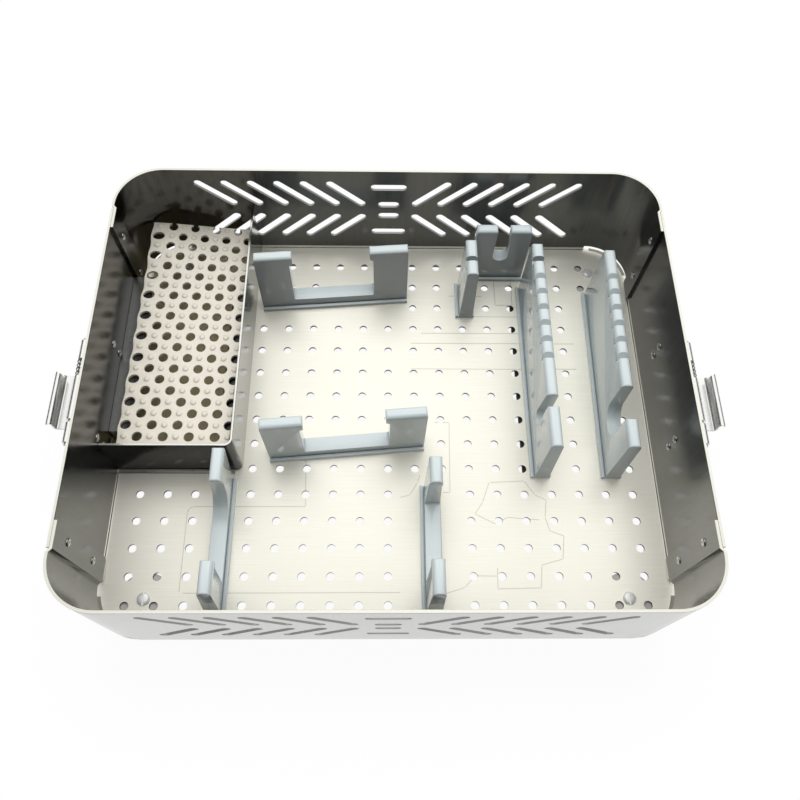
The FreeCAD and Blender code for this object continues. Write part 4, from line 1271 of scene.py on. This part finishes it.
def nub_cell(sizes):
    """Square cell with a low round nub."""
    shape = bmesh.new()
    segments = 24
    half = sizes.pitch / 2
    radius = sizes.nub / 2
    profile = [(radius * 1.25, 0.0)]
    steps = 5
    for k in range(steps):
        angle = math.pi / 2 * k / steps
        profile.append((radius * math.cos(angle), sizes.nub_height * (0.12 + 0.88 * math.sin(angle))))
    rings = []
    outer = []
    for k in range(segments):
        angle = 2 * math.pi * (k + 0.5) / segments
        c, s = math.cos(angle), math.sin(angle)
        reach = half / max(abs(c), abs(s))
        snapped = [max(-half, min(half, value)) for value in (c * reach, s * reach)]
        outer.append(shape.verts.new((*snapped, 0)))
    for r, z in profile:
        rings.append([shape.verts.new((r * math.cos(2 * math.pi * (k + 0.5) / segments),
                                       r * math.sin(2 * math.pi * (k + 0.5) / segments), z))
                      for k in range(segments)])
    tip = shape.verts.new((0, 0, sizes.nub_height))
    for k in range(segments):
        m = (k + 1) % segments
        first = rings[0]
        if (k + 1) % (segments // 4) == segments // 8:
            angle = 2 * math.pi * (k + 1) / segments
            corner = shape.verts.new((math.copysign(half, math.cos(angle)), math.copysign(half, math.sin(angle)), 0))
            shape.faces.new((first[k], outer[k], corner, outer[m], first[m]))
        else:
            shape.faces.new((first[k], outer[k], outer[m], first[m]))
        for here, ahead in zip(rings, rings[1:]):
            shape.faces.new((here[k], here[m], ahead[m], ahead[k]))
        shape.faces.new((rings[-1][k], rings[-1][m], tip))
    return from_bmesh("Nub cell", shape)


def smoothstep(x):
    """Smooth step from 0 to 1."""
    x = max(0.0, min(1.0, x))
    return x * x * (3 - 2 * x)


class CASE_OT_mat(bpy.types.Operator):
    """Cream silicone mat with holes and nubs, lying tilted in its bay"""
    bl_idname = "case.mat"
    bl_label = "Silicone mat"

    def execute(self, context):
        sizes = context.scene.case_mat
        low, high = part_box("silicone_mat")
        low.y += 0.7 * MM
        high += Vector((-1.8 * MM, 0.8 * MM, 0.0))
        cells = (hole_cell(sizes), nub_cell(sizes))
        columns, rows = sizes.columns, sizes.rows
        mat = prism("mat_sheet", [(0, 0), (1 * MM, 0), (0, 1 * MM)], "xy", 0, 1 * MM)
        corner = (low.x + sizes.first_column + sizes.pitch * (columns - 1) / 2,
                  low.y + sizes.first_row + sizes.pitch * (rows - 1) / 2, 0.0)
        run_tree(mat, mat_tree(), hole_cell=cells[0], nub_cell=cells[1], pitch=sizes.pitch, columns=columns,
                 rows=rows, corner=corner, material=finish("mat_silicone"))
        for cell in cells:
            remove(cell)
        self.trim(mat, low, high, sizes)
        self.lay(mat, low, high, sizes)
        thick = mat.modifiers.new("Thickness", "SOLIDIFY")
        thick.thickness = sizes.sheet
        thick.offset = -1.0
        bake(mat)
        soften(mat, 0.25 * MM, 2, 50)
        finish_piece(mat, "mat", "mat_silicone", ["silicone_mat"], 40.0)
        return {"FINISHED"}

    def trim(self, mat, low, high, sizes):
        """Adds the plain strip along the front edge and cuts the sheet to its outline."""
        shape = bmesh.new()
        shape.from_mesh(mat.data)
        bmesh.ops.remove_doubles(shape, verts=shape.verts, dist=0.02 * MM)
        start = low.y + sizes.first_row - sizes.pitch / 2
        front = [e for e in shape.edges if all(abs(v.co.y - start) < 0.02 * MM for v in e.verts)]
        strip = bmesh.ops.extrude_edge_only(shape, edges=front)
        for v in strip["geom"]:
            if isinstance(v, bmesh.types.BMVert):
                v.co.y = low.y
        for point, normal in (((high.x, 0, 0), (1, 0, 0)), ((0, high.y, 0), (0, 1, 0)), ((low.x, 0, 0), (-1, 0, 0))):
            geometry = shape.verts[:] + shape.edges[:] + shape.faces[:]
            bmesh.ops.bisect_plane(shape, geom=geometry, plane_co=point, plane_no=normal, clear_outer=True)
        bmesh.ops.recalc_face_normals(shape, faces=shape.faces)
        if sum(f.normal.z * f.calc_area() for f in shape.faces) < 0:
            bmesh.ops.reverse_faces(shape, faces=shape.faces)
        shape.to_mesh(mat.data)
        shape.free()

    def lay(self, mat, low, high, sizes):
        """Tilts the sheet, curls up its rear left corner and makes its left edge uneven."""
        top = high.z
        width = high.x - low.x
        depth = high.y - low.y
        for v in mat.data.vertices:
            across = (v.co.x - low.x) / width
            along = (v.co.y - low.y) / depth
            lifted = smoothstep((along - 0.72) / 0.28) * smoothstep(1 - across * 1.1)
            wave = 0.2 * MM * math.sin(along * 31.0) * (1 - across)
            sag = sizes.drop * across * (0.3 + 0.7 * along)
            v.co.z += top - sag + sizes.curl * lifted + wave
            v.co.y -= sizes.draw * lifted
            edge = max(0.0, 1 - across * 9)
            shift = sizes.lean * along * (1 - across) + sizes.turn * along * min(across * 6, 1 - across, 0.8)
            v.co.x += shift + sizes.draw / 2 * lifted + edge * 0.4 * MM * math.sin(v.co.y / sizes.pitch * math.pi)


# Small fittings


def fasteners(name, head, places, size, slot_name, nodes, tree, body="case"):
    """Copies of one fastener head at places with axes, as one piece."""
    mesh = bpy.data.meshes.new(name)
    mesh.from_pydata([point for point, axis in places], [], [])
    attribute = mesh.attributes.new("axis", "FLOAT_VECTOR", "POINT")
    for i, (point, axis) in enumerate(places):
        attribute.data[i].vector = axis
    obj = new_object(name, mesh)
    run_tree(obj, tree, fastener=head, size=size, material=finish(slot_name))
    remove(head)
    return finish_piece(obj, body, slot_name, nodes, 40.0)


def rivet_head():
    """Low dome of a rivet with a dimple, one unit across."""
    shape = bmesh.new()
    profile = [(0.0, -0.3), (0.36, -0.3), (0.36, -0.02), (0.5, 0.0), (0.49, 0.06), (0.42, 0.13), (0.3, 0.18),
               (0.16, 0.19), (0.12, 0.12), (0.0, 0.11)]
    add_lathe(shape, profile, (0, 0), 24)
    return from_bmesh("Rivet", shape)


def screw_head():
    """Pan head of a screw with a wide slot, one unit across."""
    shape = bmesh.new()
    profile = [(0.0, -0.1), (0.3, -0.1), (0.5, 0.0), (0.5, 0.08), (0.46, 0.16), (0.36, 0.22), (0.2, 0.25),
               (0.0, 0.255)]
    add_lathe(shape, profile, (0, 0), 32)
    head = from_bmesh("Screw", shape)
    outline = [(-0.07, -0.6), (0.07, -0.6), (0.07, 0.6), (-0.07, 0.6)]
    combine(head, prism("Recess", outline, "xy", 0.1, 0.4), "DIFFERENCE")
    return head


def rivet_places():
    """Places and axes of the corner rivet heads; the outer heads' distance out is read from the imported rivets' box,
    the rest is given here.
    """
    corner = []
    low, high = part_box("corner_rivets")
    head = 0.8 * MM
    for side in (-1, 1):
        for y in (-86.5, 86.5):
            for z in (64.0, 30.0):
                corner.append(((side * (high.x - head), y * MM, z * MM), (side, 0, 0)))
                corner.append(((side * (147.0 * MM), y * MM, z * MM), (-side, 0, 0)))
    return corner


class CASE_OT_fittings(bpy.types.Operator):
    """Rivets, screws, feet and the two sprung latches"""
    bl_idname = "case.fittings"
    bl_label = "Fittings"

    def execute(self, context):
        sizes = context.scene.case_fasteners
        tree = fastener_tree()
        fasteners("corner_rivet_heads", rivet_head(), rivet_places(), sizes.rivet_head, "rivet_steel",
                  ["corner_rivets"], tree)
        for side, name in ((-1, "left"), (1, "right")):
            places = []
            for y in (-27.5, 27.5):
                for z in (47.5, 37.5):
                    places.append(((side * 151.0 * MM, y * MM, z * MM), (side, 0, 0)))
                    places.append(((side * 148.5 * MM, y * MM, z * MM), (-side, 0, 0)))
            fasteners(name + "_latch_rivet_heads", rivet_head(), places, sizes.rivet_head, "rivet_steel",
                      [name + "_latch_rivets"], tree)
            refined(name + "_latch_base", "latch_steel")
            refined(name + "_latch_pin", "rivet_steel")
            refined(name + "_latch", "latch_steel", name + "_latch")
        refined("latch_springs", "spring_steel", rounds=1, swell=0.08)
        refined("bay_rivets", "rivet_steel")
        screws = [((x * 125.5 * MM, y * 101.4 * MM, 10.0 * MM), (0, 0, 1)) for x in (-1, 1) for y in (-1, 1)]
        fasteners("foot_screw_heads", screw_head(), screws, sizes.screw_head, "screw_steel", ["foot_screws"], tree)
        self.feet(sizes)
        return {"FINISHED"}

    def feet(self, sizes):
        """Four tapered rubber feet."""
        for node in ("front_left_foot", "rear_left_foot", "front_right_foot", "rear_right_foot"):
            low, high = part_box(node)
            centre = (low + high) / 2
            top = sizes.foot / 2
            base = top - sizes.foot_taper
            shape = bmesh.new()
            add_lathe(shape, [(0, low.z), (base - 0.8 * MM, low.z), (base, low.z + 0.8 * MM),
                              (top, high.z), (0, high.z)], centre, 48)
            finish_piece(from_bmesh(node + "_rubber", shape), "case", "foot_rubber", [node])


# Stage


def stage_material(context):
    """White surface that keeps a faint shadow."""
    material, tree, shader = new_material("stage_white")
    shader.inputs["Base Color"].default_value = (0.8, 0.8, 0.8, 1.0)
    shader.inputs["Roughness"].default_value = 0.9
    rays = tree.nodes.new("ShaderNodeLightPath")
    seen = maths(tree, "MAXIMUM", rays.outputs["Is Camera Ray"],
                 maths(tree, "MAXIMUM", rays.outputs["Is Glossy Ray"], rays.outputs["Is Transmission Ray"]))
    glow = tree.nodes.new("ShaderNodeEmission")
    glow.inputs["Color"].default_value = (1.0, 1.0, 1.0, 1.0)
    glow.inputs["Strength"].default_value = 1.0
    mix = tree.nodes.new("ShaderNodeMixShader")
    tree.links.new(maths(tree, "MULTIPLY", seen, 0.94), mix.inputs["Fac"])
    tree.links.new(shader.outputs["BSDF"], mix.inputs[1])
    tree.links.new(glow.outputs["Emission"], mix.inputs[2])
    tree.links.new(mix.outputs["Shader"], tree.nodes["Material Output"].inputs["Surface"])
    return material


def studio_world(scene):
    """World: white to the camera, a soft overhead light to the rear and a darker front."""
    world = bpy.data.worlds.new("studio")
    world.use_nodes = True
    scene.world = world
    tree = world.node_tree
    background = tree.nodes["Background"]
    rays = tree.nodes.new("ShaderNodeLightPath")
    place = tree.nodes.new("ShaderNodeTexCoord")
    toward = tree.nodes.new("ShaderNodeVectorMath")
    toward.operation = "DOT_PRODUCT"
    toward.inputs[1].default_value = Vector((0.05, 0.43, 0.9)).normalized()
    tree.links.new(place.outputs["Generated"], toward.inputs[0])
    mirrored = ranged(tree, toward.outputs["Value"], 0.04, 1.05, 0.55, 0.96)
    scattered = ranged(tree, toward.outputs["Value"], 0.12, 1.7, 0.0, 0.9)
    lobe = tree.nodes.new("ShaderNodeMix")
    lobe.data_type = "FLOAT"
    tree.links.new(rays.outputs["Is Diffuse Ray"], lobe.inputs["Factor"])
    tree.links.new(mirrored, lobe.inputs["A"])
    tree.links.new(scattered, lobe.inputs["B"])
    tree.links.new(tinted(tree, rays.outputs["Is Camera Ray"], (1, 1, 0.98), (1, 1, 1)),
                   background.inputs["Color"])
    strength = tree.nodes.new("ShaderNodeMix")
    strength.data_type = "FLOAT"
    tree.links.new(rays.outputs["Is Camera Ray"], strength.inputs["Factor"])
    tree.links.new(lobe.outputs["Result"], strength.inputs["A"])
    strength.inputs["B"].default_value = 1.0
    tree.links.new(strength.outputs["Result"], background.inputs["Strength"])


class CASE_OT_stage(bpy.types.Operator):
    """White floor, soft studio light and the camera"""
    bl_idname = "case.stage"
    bl_label = "Stage"

    def execute(self, context):
        scene = context.scene
        settings = scene.case_stage
        span = 4.0
        floor = prism("stage_floor", [(-span, -span), (span, -span), (span, span), (-span, span)], "xy",
                      -1 * MM, 0)
        floor.data.materials.append(stage_material(context))
        studio_world(scene)
        light = bpy.data.lights.new("softbox", "AREA")
        light.shape = "RECTANGLE"
        light.size = settings.softbox_size
        light.size_y = settings.softbox_size * 0.7
        light.energy = settings.softbox_power
        lamp = bpy.data.objects.new("softbox", light)
        scene.collection.objects.link(lamp)
        lamp.location = (0.06, 0.42, 1.05)
        lamp.visible_glossy = False
        lamp.rotation_euler = (Vector((0, 0, 0.03)) - lamp.location).to_track_quat("-Z", "Y").to_euler()
        camera = bpy.data.cameras.new("camera")
        camera.lens = settings.lens
        camera.sensor_width = 36.0
        view = bpy.data.objects.new("camera", camera)
        scene.collection.objects.link(view)
        right = Vector((0.9998, -0.0056, 0.0194))
        down = Vector((0.0033, -0.9022, -0.4314))
        forward = Vector((0.0199, 0.4314, -0.9020))
        turn = Matrix((right, -down, -forward)).transposed().to_4x4()
        view.matrix_world = Matrix.Translation(settings.camera) @ turn
        scene.camera = view
        scene.view_settings.view_transform = "Standard"
        return {"FINISHED"}


class CASE_PT_panel(bpy.types.Panel):
    """Builds the case piece by piece"""
    bl_idname = "CASE_PT_panel"
    bl_label = "Sterilization Case"
    bl_space_type = "VIEW_3D"
    bl_region_type = "UI"
    bl_category = "Case"

    def draw(self, context):
        for operator in OPERATORS:
            self.layout.operator(operator.bl_idname)


OPERATORS = (CASE_OT_walls, CASE_OT_floor, CASE_OT_brackets, CASE_OT_mat, CASE_OT_fittings, CASE_OT_stage)


def register():
    """Registers the classes and hangs the settings on the scene."""
    for cls in (*SETTINGS.values(), *OPERATORS, CASE_PT_panel):
        bpy.utils.register_class(cls)
    for name, group in SETTINGS.items():
        setattr(bpy.types.Scene, name, PointerProperty(type=group))


def unregister():
    """Takes the settings and classes away again."""
    for name in SETTINGS:
        delattr(bpy.types.Scene, name)
    for cls in reversed((*SETTINGS.values(), *OPERATORS, CASE_PT_panel)):
        bpy.utils.unregister_class(cls)


def main():
    """Builds the whole scene."""
    register()
    for operator in OPERATORS:
        group, name = operator.bl_idname.split(".")
        getattr(getattr(bpy.ops, group), name)()


if __name__ == "__main__":
    main()
